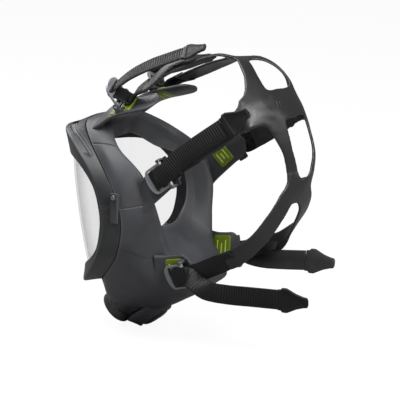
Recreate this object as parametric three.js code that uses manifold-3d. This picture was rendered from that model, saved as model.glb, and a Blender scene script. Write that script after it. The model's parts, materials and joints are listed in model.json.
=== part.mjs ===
// Full face respirator for firefighting: curved visor in a two-part lens frame, rubber face blank with a
// chin connector, and a five-arm head harness whose six straps run through quick-release buckles.
//
// Millimetres. +Z is up, the visor looks along -Y, and +X is the wearer's left.
// The shapes are written round a work point on the mid-plane at temple height. At the end the whole group
// moves so that the origin is the centre of the bottom of its bounding box.

import * as THREE from 'three';
import { mergeVertices } from 'three/addons/utils/BufferGeometryUtils.js';
import Module from 'manifold-3d';

const wasm = await Module();
wasm.setup();

// ---------------------------------------------------------------- driving dimensions

const GAP = 0.4;                  // clearance between neighbouring pieces

const LENS_RADIUS = 85;           // outer face of the visor
const LENS_THICKNESS = 2;
const LENS_MID_Z = -29;
const LENS_AXIS_Y = -17;          // cylinder axis at LENS_MID_Z
const LENS_TILT = 0.1405;         // the top of the visor leans forward
const LENS_OVERLAP = 1.055;       // the visor edge beyond the visible opening
const FRAME_LIP = 3;              // frame thickness in front of the visor
const FRAME_WALL = 3;
const RUBBER_WALL = 3;
const TAB_THICKNESS = 3;

const STRAP_THICKNESS = 2.2;
const STRAP_WIDTH = 20;
const WEB_THICKNESS = 2.6;

const BUCKLE_WIDTH = 29;
const BUCKLE_LENGTH = 23;         // pin to the round end
const BUCKLE_PLATE = 2;
const BAR_REACH = 12;             // pin to the bar that the strap wraps round
const PIN_RADIUS = 1;
const BARREL_RADIUS = 1.8;
const PIN_HEIGHT = 6.2;           // pin above the face of its tab
const LUG_THICKNESS = 2.2;

const RING_STEPS = 44;            // sections round the face opening

// ---------------------------------------------------------------- materials

function material(name, color, roughness, metalness = 0) {
  const made = new THREE.MeshStandardMaterial({ color, roughness, metalness });
  made.name = name;
  return made;
}

const MATERIALS = {
  lens: material('lens', 0xdfe4e6, 0.05),
  frame: material('frame', 0x3a3c3e, 0.5),
  rubber: material('rubber', 0x4a4b4d, 0.6),
  housing: material('housing', 0x1b1c1e, 0.3),
  marker: material('marker', 0x9fb82e, 0.5),
  buckle: material('buckle', 0x9a9da0, 0.35),
  steel: material('steel', 0xb8bcc0, 0.25, 1),
  strap: material('strap', 0x18191a, 0.75),
  valve: material('valve', 0xd8d4c8, 0.5),
};

// ---------------------------------------------------------------- closed bodies from points

const vec = (p) => (p.isVector3 ? p.clone() : new THREE.Vector3(p[0], p[1], p[2]));

function signedVolume(points, faces) {
  let sum = 0;
  for (let i = 0; i < faces.length; i += 3) {
    const a = points[faces[i]];
    const b = points[faces[i + 1]];
    const c = points[faces[i + 2]];
    sum += a.dot(b.clone().cross(c));
  }
  return sum / 6;
}

// A geometry from points and triangles, turned so that its faces point out.
function closedGeometry(points, faces) {
  const flip = signedVolume(points, faces) < 0;
  const index = [];
  for (let i = 0; i < faces.length; i += 3) {
    const [a, b, c] = [faces[i], faces[i + 1], faces[i + 2]];
    index.push(a, flip ? c : b, flip ? b : c);
  }
  const geometry = new THREE.BufferGeometry();
  geometry.setAttribute('position', new THREE.Float32BufferAttribute(points.flatMap((p) => p.toArray()), 3));
  geometry.setIndex(index);
  return geometry;
}

// Skins a row of equal sections. A ring closes on itself; otherwise both ends get a flat cap.
function loft(sections, ring = false) {
  const count = sections[0].length;
  const rows = sections.length;
  const points = sections.flat().map(vec);
  const faces = [];
  const spans = ring ? rows : rows - 1;
  for (let i = 0; i < spans; i += 1) {
    const here = i * count;
    const next = ((i + 1) % rows) * count;
    for (let j = 0; j < count; j += 1) {
      const k = (j + 1) % count;
      faces.push(here + j, next + j, next + k, here + j, next + k, here + k);
    }
  }
  if (!ring) {
    for (const [row, turn] of [[0, false], [rows - 1, true]]) {
      const middle = new THREE.Vector3();
      for (let j = 0; j < count; j += 1) middle.addScaledVector(points[row * count + j], 1 / count);
      points.push(middle);
      const hub = points.length - 1;
      for (let j = 0; j < count; j += 1) {
        const a = row * count + j;
        const b = row * count + ((j + 1) % count);
        faces.push(hub, turn ? b : a, turn ? a : b);
      }
    }
  }
  return closedGeometry(points, faces);
}

// ---------------------------------------------------------------- joining and cutting

function bareMesh(geometry) {
  const bare = new THREE.BufferGeometry();
  bare.setAttribute('position', geometry.getAttribute('position').clone());
  if (geometry.index) bare.setIndex(geometry.index.clone());
  return mergeVertices(bare, 1e-4);
}

function solid(geometry) {
  const merged = bareMesh(geometry);
  return new wasm.Manifold(new wasm.Mesh({
    numProp: 3,
    vertProperties: new Float32Array(merged.getAttribute('position').array),
    triVerts: new Uint32Array(merged.index.array),
  }));
}

// The largest piece of a solid, as a geometry.
function toGeometry(manifold) {
  const pieces = manifold.decompose().sort((a, b) => b.volume() - a.volume());
  const mesh = pieces[0].getMesh();
  const geometry = new THREE.BufferGeometry();
  geometry.setAttribute('position', new THREE.Float32BufferAttribute(mesh.vertProperties, 3));
  geometry.setIndex([...mesh.triVerts]);
  return geometry;
}

function joined(geometries) {
  return geometries.map(solid).reduce((all, next) => all.add(next));
}

// ---------------------------------------------------------------- curves round the face opening

// Nine stations from the top centre, round the wearer's left side, to the bottom centre.
const FRAME_SHOULDER = [[0, -117, 50], [40, -109, 52], [68, -84, 42], [83, -54, 14], [86, -42, -15],
  [85, -41, -40], [78, -54, -71], [50, -86, -99], [0, -106, -100]];
const FRAME_REAR = [[0, -93, 58], [34, -89, 57], [60, -68, 42], [77, -42, 16], [84.5, -23.5, -15],
  [84, -22, -40], [76, -33, -68], [50, -62, -94], [0, -86, -106]];
const CHEEK_FRONT = [[0, -80, 62], [32, -76, 60], [60, -56, 43], [76, -32, 18], [81, -15, -14],
  [78, -12, -42], [69, -22, -76], [40, -58, -118], [0, -68, -137]];
const CHEEK_REAR = [[0, -65, 65], [31, -62, 62], [59, -43, 43], [71, -20, 19], [73, -4, -12],
  [67, -1, -44], [60, -4, -84], [40, -14, -116], [0, -28, -138]];
const RIM = [[0, -50, 66], [31, -47, 61], [57, -31, 41], [65, -10, 19], [63.5, 3.5, -11],
  [54, 8, -44], [47, 14, -72], [40, 33, -100], [0, 37, -100]];
const SEAL_EDGE = [[0, -60, 40], [24, -57, 37], [41, -44, 23], [48, -27, 13], [47, -17, -11],
  [34, -9, -37], [26, -8, -53], [15, -6, -66], [0, -5, -72]];
const LENS_EDGE = [[0, 28], [28, 27.5], [52, 24], [67, 7], [71, -15], [69.5, -38], [60, -64], [35, -84],
  [0, -88]];                      // degrees round the cylinder, height

function mirrorLoop(stations) {
  const left = stations.map(vec);
  const right = left.slice(1, -1).reverse().map((p) => new THREE.Vector3(-p.x, p.y, p.z));
  return new THREE.CatmullRomCurve3([...left, ...right], true, 'catmullrom', 0.5);
}

const loops = {
  shoulder: mirrorLoop(FRAME_SHOULDER),
  rear: mirrorLoop(FRAME_REAR),
  cheekFront: mirrorLoop(CHEEK_FRONT),
  cheekRear: mirrorLoop(CHEEK_REAR),
  rim: mirrorLoop(RIM),
  seal: mirrorLoop(SEAL_EDGE),
  lens: mirrorLoop(LENS_EDGE.map(([degrees, z]) => [degrees, 0, z])),
};

const onLoop = (name, t) => loops[name].getPoint(((t % 1) + 1) % 1);

// A point of the visor cylinder: reach 1 is the edge of the visible opening, 0 is the middle.
function lensPoint(t, reach, radius) {
  const edge = onLoop('lens', t);
  const angle = THREE.MathUtils.degToRad(edge.x * reach);
  const z = LENS_MID_Z + (edge.z - LENS_MID_Z) * reach;
  const axisY = LENS_AXIS_Y - LENS_TILT * (z - LENS_MID_Z);
  return new THREE.Vector3(radius * Math.sin(angle), axisY - radius * Math.cos(angle), z);
}

// Moves a point towards the hollow of the mask.
function inward(point, distance) {
  const target = new THREE.Vector3(0, point.y + 12, LENS_MID_Z);
  return point.clone().addScaledVector(target.sub(point).normalize(), distance);
}

// ---------------------------------------------------------------- visor and lens frame

function lensGeometry() {
  const rings = 6;
  const points = [];
  const faces = [];
  for (const radius of [LENS_RADIUS, LENS_RADIUS - LENS_THICKNESS]) {
    points.push(lensPoint(0, 0, radius));
    for (let r = 1; r <= rings; r += 1) {
      for (let i = 0; i < RING_STEPS; i += 1) {
        points.push(lensPoint(i / RING_STEPS, LENS_OVERLAP * r / rings, radius));
      }
    }
  }
  const side = 1 + rings * RING_STEPS;
  for (const [base, turn] of [[0, false], [side, true]]) {
    const add = (a, b, c) => faces.push(a, turn ? c : b, turn ? b : c);
    for (let i = 0; i < RING_STEPS; i += 1) {
      const k = (i + 1) % RING_STEPS;
      add(base, base + 1 + i, base + 1 + k);
      for (let r = 1; r < rings; r += 1) {
        const inner = base + 1 + (r - 1) * RING_STEPS;
        const outer = inner + RING_STEPS;
        add(inner + i, outer + i, outer + k);
        add(inner + i, outer + k, inner + k);
      }
    }
  }
  const last = 1 + (rings - 1) * RING_STEPS;
  for (let i = 0; i < RING_STEPS; i += 1) {
    const k = (i + 1) % RING_STEPS;
    faces.push(last + i, side + last + i, side + last + k, last + i, side + last + k, last + k);
  }
  return closedGeometry(points, faces);
}

// The frame grips the visor edge behind a lip and runs back over the rubber.
function frameSection(t) {
  const pocket = LENS_OVERLAP + 0.018;
  const rear = onLoop('rear', t);
  return [
    lensPoint(t, 1, LENS_RADIUS + GAP),
    lensPoint(t, 1, LENS_RADIUS + FRAME_LIP),
    onLoop('shoulder', t),
    rear,
    inward(rear, FRAME_WALL),
    lensPoint(t, pocket, LENS_RADIUS - LENS_THICKNESS - GAP),
    lensPoint(t, pocket, LENS_RADIUS + GAP),
  ];
}

function framePart(from, to) {
  const split = 0.0016;           // half the split line, as a share of the way round
  const steps = RING_STEPS / 2;
  const sections = [];
  for (let i = 0; i <= steps; i += 1) {
    sections.push(frameSection(THREE.MathUtils.lerp(from + split, to - split, i / steps)));
  }
  return loft(sections);
}

// ---------------------------------------------------------------- rubber face blank

function faceBlankSection(t) {
  const rear = onLoop('rear', t);
  const cheek = onLoop('cheekFront', t);
  const back = onLoop('cheekRear', t);
  const rim = onLoop('rim', t);
  const seal = onLoop('seal', t);
  const behindLens = LENS_RADIUS - LENS_THICKNESS - 2 * GAP;
  const backwards = rear.clone().sub(onLoop('shoulder', t)).normalize();
  const start = rear.clone().addScaledVector(backwards, 2.5 * GAP);
  const roll = rim.clone().lerp(seal, 0.08).add(new THREE.Vector3(0, 1.5, 0));
  return [
    lensPoint(t, 0.985, behindLens),
    lensPoint(t, LENS_OVERLAP - 0.035, behindLens),
    inward(rear, FRAME_WALL + 6 * GAP).addScaledVector(backwards, 2 * GAP),
    start,
    cheek,
    back,
    rim,
    roll,
    seal,
    seal.clone().add(new THREE.Vector3(0, -2, 0)),
    inward(rim, RUBBER_WALL),
    inward(back, RUBBER_WALL),
    inward(cheek, RUBBER_WALL),
    inward(rear, FRAME_WALL + 6 * GAP + RUBBER_WALL),
    lensPoint(t, 0.985, behindLens - RUBBER_WALL),
  ];
}

// ---------------------------------------------------------------- ribbons

// A flat strap along a centre line. faceAt gives the way its outer face looks at 0..1 along it.
function ribbon(centres, widthAt, thickness, faceAt, steps = 14) {
  const curve = new THREE.CatmullRomCurve3(centres.map(vec), false, 'centripetal');
  const sections = [];
  for (let i = 0; i <= steps; i += 1) {
    const u = i / steps;
    const point = curve.getPointAt(u);
    const along = curve.getTangentAt(u);
    const face = vec(faceAt(u, point));
    face.addScaledVector(along, -face.dot(along)).normalize();
    const side = along.clone().cross(face);
    const half = widthAt(u) / 2;
    const crown = thickness / 2;
    const outline = [[half, 0], [half - 1, crown], [-half + 1, crown], [-half, 0], [-half + 1, -crown],
      [half - 1, -crown]];
    sections.push(outline.map(([across, up]) => point.clone()
      .addScaledVector(side, across)
      .addScaledVector(face, up)));
  }
  return loft(sections);
}

const roundedWidth = (width, tip) => (u) => (u < tip ? width
  : width * Math.sqrt(Math.max(0.06, 1 - ((u - tip) / (1 - tip)) ** 2)));

// ---------------------------------------------------------------- buckle places

const HEAD_MIDDLE = new THREE.Vector3(0, 46, 35);
const HEAD_RADII = new THREE.Vector3(74, 95, 100);

const headFace = (p) => vec(p).sub(HEAD_MIDDLE).divide(HEAD_RADII).divide(HEAD_RADII).normalize();

// pin: centre of the buckle pin; along: the way the strap leaves; out: away from the head;
// lift: how far the buckle stands open at rest, in degrees.
const PLACES = {
  top: { pin: [38, -46, 85], along: [-0.02, 0.95, 0.32], out: [0.38, -0.28, 0.88], lift: 84 },
  temple: { pin: [76, 25, 24], along: [-0.05, 0.8, 0.6], out: [0.98, -0.02, 0.08], lift: 0 },
  lower: { pin: [56, 36, -82], along: [0.08, 0.95, 0.25], out: [0.95, 0, -0.3], lift: 0 },
};
const SIDES = { left: 1, right: -1 };

function buckleFrame(place, sign) {
  const flip = (p) => new THREE.Vector3(p[0] * sign, p[1], p[2]);
  const along = flip(PLACES[place].along).normalize();
  const out = flip(PLACES[place].out);
  out.addScaledVector(along, -out.dot(along)).normalize();
  const across = out.clone().cross(along);
  const pin = flip(PLACES[place].pin);
  const at = (x, y, z) => pin.clone()
    .addScaledVector(along, x)
    .addScaledVector(across, y)
    .addScaledVector(out, z);
  const matrix = new THREE.Matrix4().makeBasis(along, across, out).setPosition(pin);
  return { pin, along, across, out, at, matrix, lift: PLACES[place].lift };
}

// The place of the buckle's bar once the buckle stands at its rest angle.
function barPoint(frame, extra = 0) {
  const angle = THREE.MathUtils.degToRad(frame.lift);
  const reach = BAR_REACH + extra;
  return frame.at(-reach * Math.cos(angle), 0, reach * Math.sin(angle));
}

// ---------------------------------------------------------------- tabs and markers of the face blank

const TAB_SHAPES = {
  top: {
    centres: [[33, -80, 52], [36, -68, 61], [37, -56, 71], [37.5, -43, 77], [38, -22, 83], [38, -3, 88.5]],
    width: (u) => (u < 0.35 ? 17 + 37 * u : roundedWidth(30, 0.86)(u)),
    markerAhead: -15,
    markerSize: [9, 20],
  },
  temple: {
    centres: [[71, -16, -14], [68.5, -4, -3], [67.4, 10, 10], [67.8, 25.5, 24], [69, 37, 32.5]],
    width: roundedWidth(27, 0.8),
    markerAhead: -16,
    markerSize: [17, 17],
  },
  lower: {
    centres: [[55, 4, -80], [51, 14, -80], [49, 27, -78.5], [49, 36, -77], [50, 43, -76]],
    width: roundedWidth(34, 0.75),
    markerAhead: -15,
    markerSize: [18, 20],
  },
};

function tabGeometry(place, sign) {
  const shape = TAB_SHAPES[place];
  const centres = shape.centres.map((p) => [p[0] * sign, p[1], p[2]]);
  const out = buckleFrame(place, sign).out;
  return ribbon(centres, shape.width, TAB_THICKNESS, () => out, 9);
}

// A block in a buckle's frame, seated in the tab's thickness.
function tabBlock(place, sign, grow) {
  const shape = TAB_SHAPES[place];
  const [length, width] = shape.markerSize;
  const frame = buckleFrame(place, sign);
  const depth = PIN_HEIGHT + TAB_THICKNESS / 2;
  const curve = new THREE.CatmullRomCurve3(shape.centres.map((p) => vec([p[0] * sign, p[1], p[2]])));
  const seat = frame.at(shape.markerAhead, 0, -depth);
  const nearest = curve.getSpacedPoints(60).reduce((a, b) => (
    a.distanceToSquared(seat) < b.distanceToSquared(seat) ? a : b));
  const block = new THREE.BoxGeometry(length + 2 * grow, width + 2 * grow, TAB_THICKNESS + 1 + 8 * grow);
  block.applyMatrix4(new THREE.Matrix4().makeBasis(frame.along, frame.across, frame.out).setPosition(nearest));
  return block;
}

// ---------------------------------------------------------------- buckles

function inBuckle(frame, geometry, turned = false) {
  const turn = new THREE.Matrix4();
  if (turned) turn.makeRotationY(THREE.MathUtils.degToRad(frame.lift));
  geometry.applyMatrix4(turn);
  return geometry.applyMatrix4(frame.matrix);
}

const acrossBar = (radius, length) => new THREE.CylinderGeometry(radius, radius, length, 12);

function boxAt(length, width, height, x, y, z) {
  return new THREE.BoxGeometry(length, width, height).translate(x, y, z);
}

const LUG_Y = BUCKLE_WIDTH / 2 - LUG_THICKNESS / 2 + 1.4;

function buckleBase(frame) {
  const plateBottom = -PIN_HEIGHT + GAP;
  const plate = 1.1;
  const top = BARREL_RADIUS + 0.6;
  const parts = [boxAt(11, 2 * LUG_Y + LUG_THICKNESS, plate, 1.5, 0, plateBottom + plate / 2)];
  for (const y of [-LUG_Y, LUG_Y]) {
    parts.push(boxAt(6, LUG_THICKNESS, top - plateBottom, 0, y, (top + plateBottom) / 2));
  }
  const body = joined(parts).subtract(solid(acrossBar(PIN_RADIUS + GAP, 60)));
  return inBuckle(frame, toGeometry(body));
}

function bucklePin(frame) {
  return inBuckle(frame, acrossBar(PIN_RADIUS, 2 * LUG_Y + LUG_THICKNESS));
}

// A D-shaped plate: barrel on the pin, opening for the strap on each side of the bar, round thumb end.
function bucklePlate(frame) {
  const half = BUCKLE_WIDTH / 2 - LUG_THICKNESS - 0.2 + 1.2;
  const round = BAR_REACH + 4;
  const outline = new THREE.Shape();
  outline.moveTo(0, -half);
  outline.lineTo(-round, -half);
  outline.bezierCurveTo(-BUCKLE_LENGTH - 2, -half, -BUCKLE_LENGTH - 2, half, -round, half);
  outline.lineTo(0, half);
  const plate = new THREE.ExtrudeGeometry(outline, { depth: BUCKLE_PLATE, bevelEnabled: false, curveSegments: 10 });
  plate.translate(0, 0, -BUCKLE_PLATE / 2);
  let body = joined([plate, acrossBar(BARREL_RADIUS, 2 * half)]).subtract(solid(acrossBar(PIN_RADIUS + GAP, 60)));
  for (const [near, far] of [[3.2, BAR_REACH - 2], [BAR_REACH + 1.6, round + 0.6]]) {
    body = body.subtract(solid(boxAt(far - near, 2 * half - 4, 10, -(near + far) / 2, 0, 0)));
  }
  return inBuckle(frame, toGeometry(body), true);
}

// ---------------------------------------------------------------- strap tails and pull tabs

// Each tail starts above its buckle's bar. The last two points are the ends of the pull tab.
const TAILS = {
  top_left: { path: [[42, -32, 111.5], [38.5, -13, 122], [34, 5, 129.5], [31, 19, 135]], tip: [26, 43, 143] },
  top_right: { path: [[-42, -32, 104], [-38, -13, 111], [-32, 3, 117]], tip: [-24, 25, 125] },
  temple_left: { path: [[78, 40, 39], [76, 62, 56], [72, 83, 71]], tip: [65, 104, 87] },
  temple_right: { path: [[-78, 40, 34], [-76, 60, 46], [-70, 80, 58]], tip: [-62, 100, 72] },
  lower_left: { path: [[60, 50, -87], [57, 62, -94], [51, 80, -97], [48, 104, -97], [48, 133, -96]],
    tip: [48, 167, -95.5] },
  lower_right: { path: [[-60, 50, -85], [-58.5, 64, -86], [-54, 84, -84], [-49, 116, -80]],
    tip: [-49, 149, -79.5] },
};
const HANGING_FACE = [0.96, 0, -0.28];

function tailFace(name, frame) {
  const hanging = name.startsWith('lower');
  return (u, point) => {
    const later = hanging ? new THREE.Vector3(HANGING_FACE[0] * Math.sign(point.x), 0, HANGING_FACE[2])
      : headFace(point);
    return frame.out.clone().lerp(later, Math.min(1, u * 1.6)).normalize();
  };
}

function tailPath(name, frame) {
  const flat = frame.lift === 0;
  const start = flat ? frame.at(-BAR_REACH + 1, 0, 3.3) : barPoint(frame, 2.6).addScaledVector(frame.along, 2.6);
  const settle = flat ? [frame.at(5, 0, 3.8)] : [];
  return [start, ...settle, ...TAILS[name].path];
}

function tailGeometry(name, frame) {
  return ribbon(tailPath(name, frame), () => STRAP_WIDTH, STRAP_THICKNESS, tailFace(name, frame), 11);
}

// An arrow-shaped grip: wide shoulders, then a taper to a blunt end.
function pullTabGeometry(name, frame) {
  const path = TAILS[name].path;
  const end = vec(path[path.length - 1]);
  const tip = vec(TAILS[name].tip);
  const start = end.clone().lerp(tip, 0.03);
  const face = tailFace(name, frame)(1, end);
  const widths = [[0, 21], [0.1, 21], [0.16, 25], [0.3, 25], [0.62, 15], [0.85, 11], [1, 10]];
  const widthAt = (u) => {
    const after = widths.findIndex(([at]) => at >= u);
    if (after <= 0) return widths[0][1];
    const [a, wa] = widths[after - 1];
    const [b, wb] = widths[after];
    return THREE.MathUtils.lerp(wa, wb, (u - a) / (b - a));
  };
  return ribbon([start, start.clone().lerp(tip, 0.5), tip], widthAt, 3, () => face, 12);
}

// ---------------------------------------------------------------- head harness

const CROWN = [1, 67, 130.5];
const NAPE = [1, 137.5, 6];
const WEB_LEGS = {
  top_left: [[38, -29, 93], [37.5, -15, 102], [35, 2, 117], [30, 18, 126.5], [24, 38, 134.5], [15, 54, 135.5], CROWN],
  top_right: [[-37, -28, 91], [-33, -8, 100], [-26, 14, 110], [-14, 42, 122], CROWN],
  temple_left: [[73, 35, 32], [70.5, 56, 47], [66, 80, 64], [58, 99, 80], [44, 112, 89]],
  temple_right: [[-73, 35, 28], [-70, 54, 38], [-63, 78, 53], [-54, 97, 67], [-40, 114, 79]],
  lower_left: [[53, 64, -70.5], [56, 92, -57], [50, 114, -38], [37, 127, -16], [20, 134, 0], NAPE],
  lower_right: [[-53, 62, -70.5], [-51, 84, -63], [-40, 106, -45], [-18, 128, -13], NAPE],
};
const WEB_STRAPS = [
  { path: [CROWN, [15, 80, 128], [26, 93, 117], [36, 103, 104], [46, 109, 92]], width: [13, 14, 30] },
  { path: [CROWN, [-10, 82, 130], [-20, 96, 122], [-28, 108, 107], [-36, 114, 92]], width: [13, 13, 24] },
  { path: [[-44, 110, 78], [-26, 119, 85], [0, 122, 88], [28, 117, 90], [56, 103, 88]], width: [24, 27, 26] },
  { path: [[34, 117, 86], [26, 128, 62], [18, 133, 40], [10, 136, 20], NAPE], width: [24, 12, 16] },
  { path: [[-30, 119, 84], [-26, 129, 62], [-19, 137, 38], [-10, 138.5, 18], NAPE], width: [22, 12, 16] },
];

// A leg starts square to its buckle and soon lies along the head.
function webFace(start) {
  if (!start) return (u, point) => headFace(point);
  const turned = (u) => THREE.MathUtils.clamp(2.2 * (u - 0.14), 0, 1);
  return (u, point) => start.clone().lerp(headFace(point), turned(u));
}

// The strap leg runs under its buckle's pin; legs under a raised buckle stop behind the pin.
function webLeg(name, frame) {
  const level = -PIN_HEIGHT + 2.9;
  const first = frame.lift === 0 ? -BAR_REACH + 3 : 3.4;
  const clear = frame.lift === 0 ? [6, 13] : [9];
  const path = [first, ...clear].map((x) => frame.at(x, 0, level)).concat(WEB_LEGS[name].map(vec));
  const node = name.startsWith('temple') ? 24 : 13;
  const widthAt = (u) => THREE.MathUtils.lerp(STRAP_WIDTH, node, THREE.MathUtils.smoothstep(u, 0.65, 1));
  return ribbon(path, widthAt, STRAP_THICKNESS, webFace(frame.out), 16);
}

function webStrap({ path, width }) {
  const [a, b, c] = width;
  const widthAt = (u) => (u < 0.5 ? THREE.MathUtils.lerp(a, b, u * 2) : THREE.MathUtils.lerp(b, c, u * 2 - 1));
  return ribbon(path, widthAt, WEB_THICKNESS, webFace(null), 11);
}

function harnessGeometry(frames) {
  const legs = Object.keys(WEB_LEGS).map((name) => webLeg(name, frames[name]));
  return toGeometry(joined([...legs, ...WEB_STRAPS.map(webStrap)]));
}

// ---------------------------------------------------------------- chin connector

// Three round openings in the chin housing, each with its centre and the way it looks.
const INLET = { at: [0, -63.5, -132], axis: [0, -0.76, -0.65] };
const VOICE = { at: [0, -84.5, -113.5], axis: [0, -0.76, -0.65] };
const EXHALE = { at: [0, -31, -141], axis: [0, 0.6, -0.8] };
const HOUSING_MIDDLE = [0, -56, -127];
const HOUSING_RADII = [28, 33, 21];
const INLET_RADIUS = 17;
const VOICE_RADIUS = 8.4;
const EXHALE_RADIUS = 14;

// Turns a shape made about +Z so that +Z looks out of an opening.
function place(geometry, opening, offset = 0) {
  const axis = vec(opening.axis).normalize();
  const turn = new THREE.Quaternion().setFromUnitVectors(new THREE.Vector3(0, 0, 1), axis);
  geometry.applyQuaternion(turn);
  const at = vec(opening.at).addScaledVector(axis, offset);
  return geometry.translate(at.x, at.y, at.z);
}

// A solid turned about +Z from a closed profile of [radius, height] points.
function turned(profile, segments = 20) {
  const closed = [...profile, profile[0]].map(([r, z]) => new THREE.Vector2(r, z));
  const merged = bareMesh(new THREE.LatheGeometry(closed, segments).rotateX(Math.PI / 2));
  const position = merged.getAttribute('position');
  const points = [];
  for (let i = 0; i < position.count; i += 1) points.push(new THREE.Vector3().fromBufferAttribute(position, i));
  return closedGeometry(points, [...merged.index.array]);
}

const washer = (outer, inner, low, high) => turned([[inner, low], [outer, low], [outer, high], [inner, high]]);
const disc = (radius, low, high) => new THREE.CylinderGeometry(radius, radius, high - low, 20)
  .rotateX(Math.PI / 2).translate(0, 0, (low + high) / 2);

function chinBall(grow) {
  const ball = new THREE.SphereGeometry(1, 20, 12);
  ball.scale(HOUSING_RADII[0] + grow, HOUSING_RADII[1] + grow, HOUSING_RADII[2] + grow);
  return solid(ball.rotateX(0.35).translate(...HOUSING_MIDDLE));
}

function housingGeometry() {
  const floor = solid(boxAt(90, 120, 60, 0, -60, -83));
  let body = chinBall(0)
    .subtract(solid(place(disc(44, 1, 44), INLET)))
    .add(solid(place(disc(INLET_RADIUS, -16, 1), INLET)))
    .add(solid(place(disc(VOICE_RADIUS + 1.8, -10, 0), VOICE)))
    .add(solid(place(disc(EXHALE_RADIUS + 1.6, -12, 0), EXHALE)));
  body = body.subtract(chinBall(-2.6)).subtract(floor);
  body = body.subtract(solid(place(disc(INLET_RADIUS - 3, -30, 10), INLET)));
  body = body.subtract(solid(place(disc(VOICE_RADIUS, -30, 10), VOICE)));
  return toGeometry(body.subtract(solid(place(disc(EXHALE_RADIUS, -30, 10), EXHALE))));
}

// Everything that the housing fills in the rubber, with its clearance.
function housingSpace() {
  return chinBall(GAP)
    .add(solid(place(disc(INLET_RADIUS + GAP, -16, 12), INLET)))
    .add(solid(place(disc(VOICE_RADIUS + 1.8 + GAP, -11, 8), VOICE)))
    .add(solid(place(disc(EXHALE_RADIUS + 1.6 + GAP, -13, 12), EXHALE)));
}

function faceBlankGeometry() {
  const sections = [];
  for (let i = 0; i < RING_STEPS; i += 1) sections.push(faceBlankSection(i / RING_STEPS));
  let body = solid(loft(sections, true));
  const everyTab = Object.keys(TAB_SHAPES).flatMap((tab) => Object.values(SIDES).map((sign) => [tab, sign]));
  for (const [tab, sign] of everyTab) body = body.add(solid(tabGeometry(tab, sign)));
  for (const [tab, sign] of everyTab) body = body.subtract(solid(tabBlock(tab, sign, GAP)));
  return toGeometry(body.subtract(housingSpace()));
}

// A thin seat ring with a cross that the valve disc rests on.
function valveSeat(outer, inner, low, high) {
  const bars = [0, Math.PI / 2].map((angle) => boxAt(2 * inner + 1, 2, high - low, 0, 0, (low + high) / 2)
    .rotateZ(angle));
  return toGeometry(joined([washer(outer, inner, low, high), ...bars]));
}

function springGeometry(low, high, radius) {
  const turns = 3;
  const points = [];
  for (let i = 0; i <= turns * 10; i += 1) {
    const angle = (i / 10) * Math.PI * 2;
    const share = i / (turns * 10);
    const spread = radius * (0.55 + 0.45 * share);
    points.push(new THREE.Vector3(spread * Math.cos(angle), spread * Math.sin(angle), low + (high - low) * share));
  }
  const wire = new THREE.Shape();
  wire.absarc(0, 0, 0.4, 0, Math.PI * 2);
  return new THREE.ExtrudeGeometry(wire, {
    steps: turns * 12,
    curveSegments: 3,
    bevelEnabled: false,
    extrudePath: new THREE.CatmullRomCurve3(points),
  });
}

// A low domed cap with outlet slots through its side.
function exhaleCover() {
  const outer = EXHALE_RADIUS + 1.6;
  const skin = 1.6;
  const rise = 8;
  const profile = [[0, rise], [outer - 4, rise - 1], [outer, rise - 4], [outer, GAP],
    [outer - skin, GAP], [outer - skin, rise - 4.5], [outer - 4.6, rise - 1 - skin], [0, rise - skin]];
  let cap = solid(turned(profile));
  for (let i = 0; i < 6; i += 1) {
    const slot = boxAt(8, 7, 1.8, outer, 0, 2.6).rotateZ((i + 0.5) * Math.PI / 3);
    cap = cap.subtract(solid(slot));
  }
  return toGeometry(cap);
}

function voiceGrille() {
  const rim = washer(VOICE_RADIUS - GAP, VOICE_RADIUS - 2, -1.5, 0.6);
  const bars = [-3, 0, 3].map((y) => boxAt(2 * Math.sqrt((VOICE_RADIUS - 1.2) ** 2 - y * y), 1, 1, 0, y, 0));
  return toGeometry(joined([rim, ...bars]));
}

// ---------------------------------------------------------------- side clamps of the lens frame

const CLAMP = { x: 87.9, y: -26, z: -14, thickness: 2.2, length: 30, width: 8 };
const SCREW_Z = CLAMP.z + CLAMP.length / 2 - 4;

function clampGeometry(sign) {
  const plate = boxAt(CLAMP.thickness, CLAMP.width, CLAMP.length, CLAMP.x, CLAMP.y, CLAMP.z);
  const hole = new THREE.CylinderGeometry(1.7, 1.7, 10, 16).rotateZ(Math.PI / 2).translate(CLAMP.x, CLAMP.y, SCREW_Z);
  const clamp = toGeometry(solid(plate).subtract(solid(hole)));
  return sign > 0 ? clamp : clamp.translate(-2 * CLAMP.x, 0, 0);
}

function screwGeometry(sign) {
  const head = new THREE.CylinderGeometry(2.5, 2.5, 1.2, 20).translate(0, 1.9, 0);
  const shank = new THREE.CylinderGeometry(1.3, 1.3, 2.4, 20).translate(0, 0.3, 0);
  const screw = toGeometry(joined([head, shank]));
  return screw.rotateZ(sign > 0 ? -Math.PI / 2 : Math.PI / 2).translate(sign * CLAMP.x, CLAMP.y, SCREW_Z);
}

// ---------------------------------------------------------------- assembly

const group = new THREE.Group();

function addPart(name, geometry, finish) {
  const mesh = new THREE.Mesh(geometry, MATERIALS[finish]);
  mesh.name = name;
  group.add(mesh);
}

function addVisor() {
  addPart('lens', lensGeometry(), 'lens');
  addPart('lens_frame_upper', framePart(-0.25, 0.25), 'frame');
  addPart('lens_frame_lower', framePart(0.25, 0.75), 'frame');
  addPart('face_blank', faceBlankGeometry(), 'rubber');
  for (const [side, sign] of Object.entries(SIDES)) {
    addPart(`frame_clamp_${side}`, clampGeometry(sign), 'frame');
    addPart(`frame_screw_${side}`, screwGeometry(sign), 'steel');
  }
}

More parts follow.
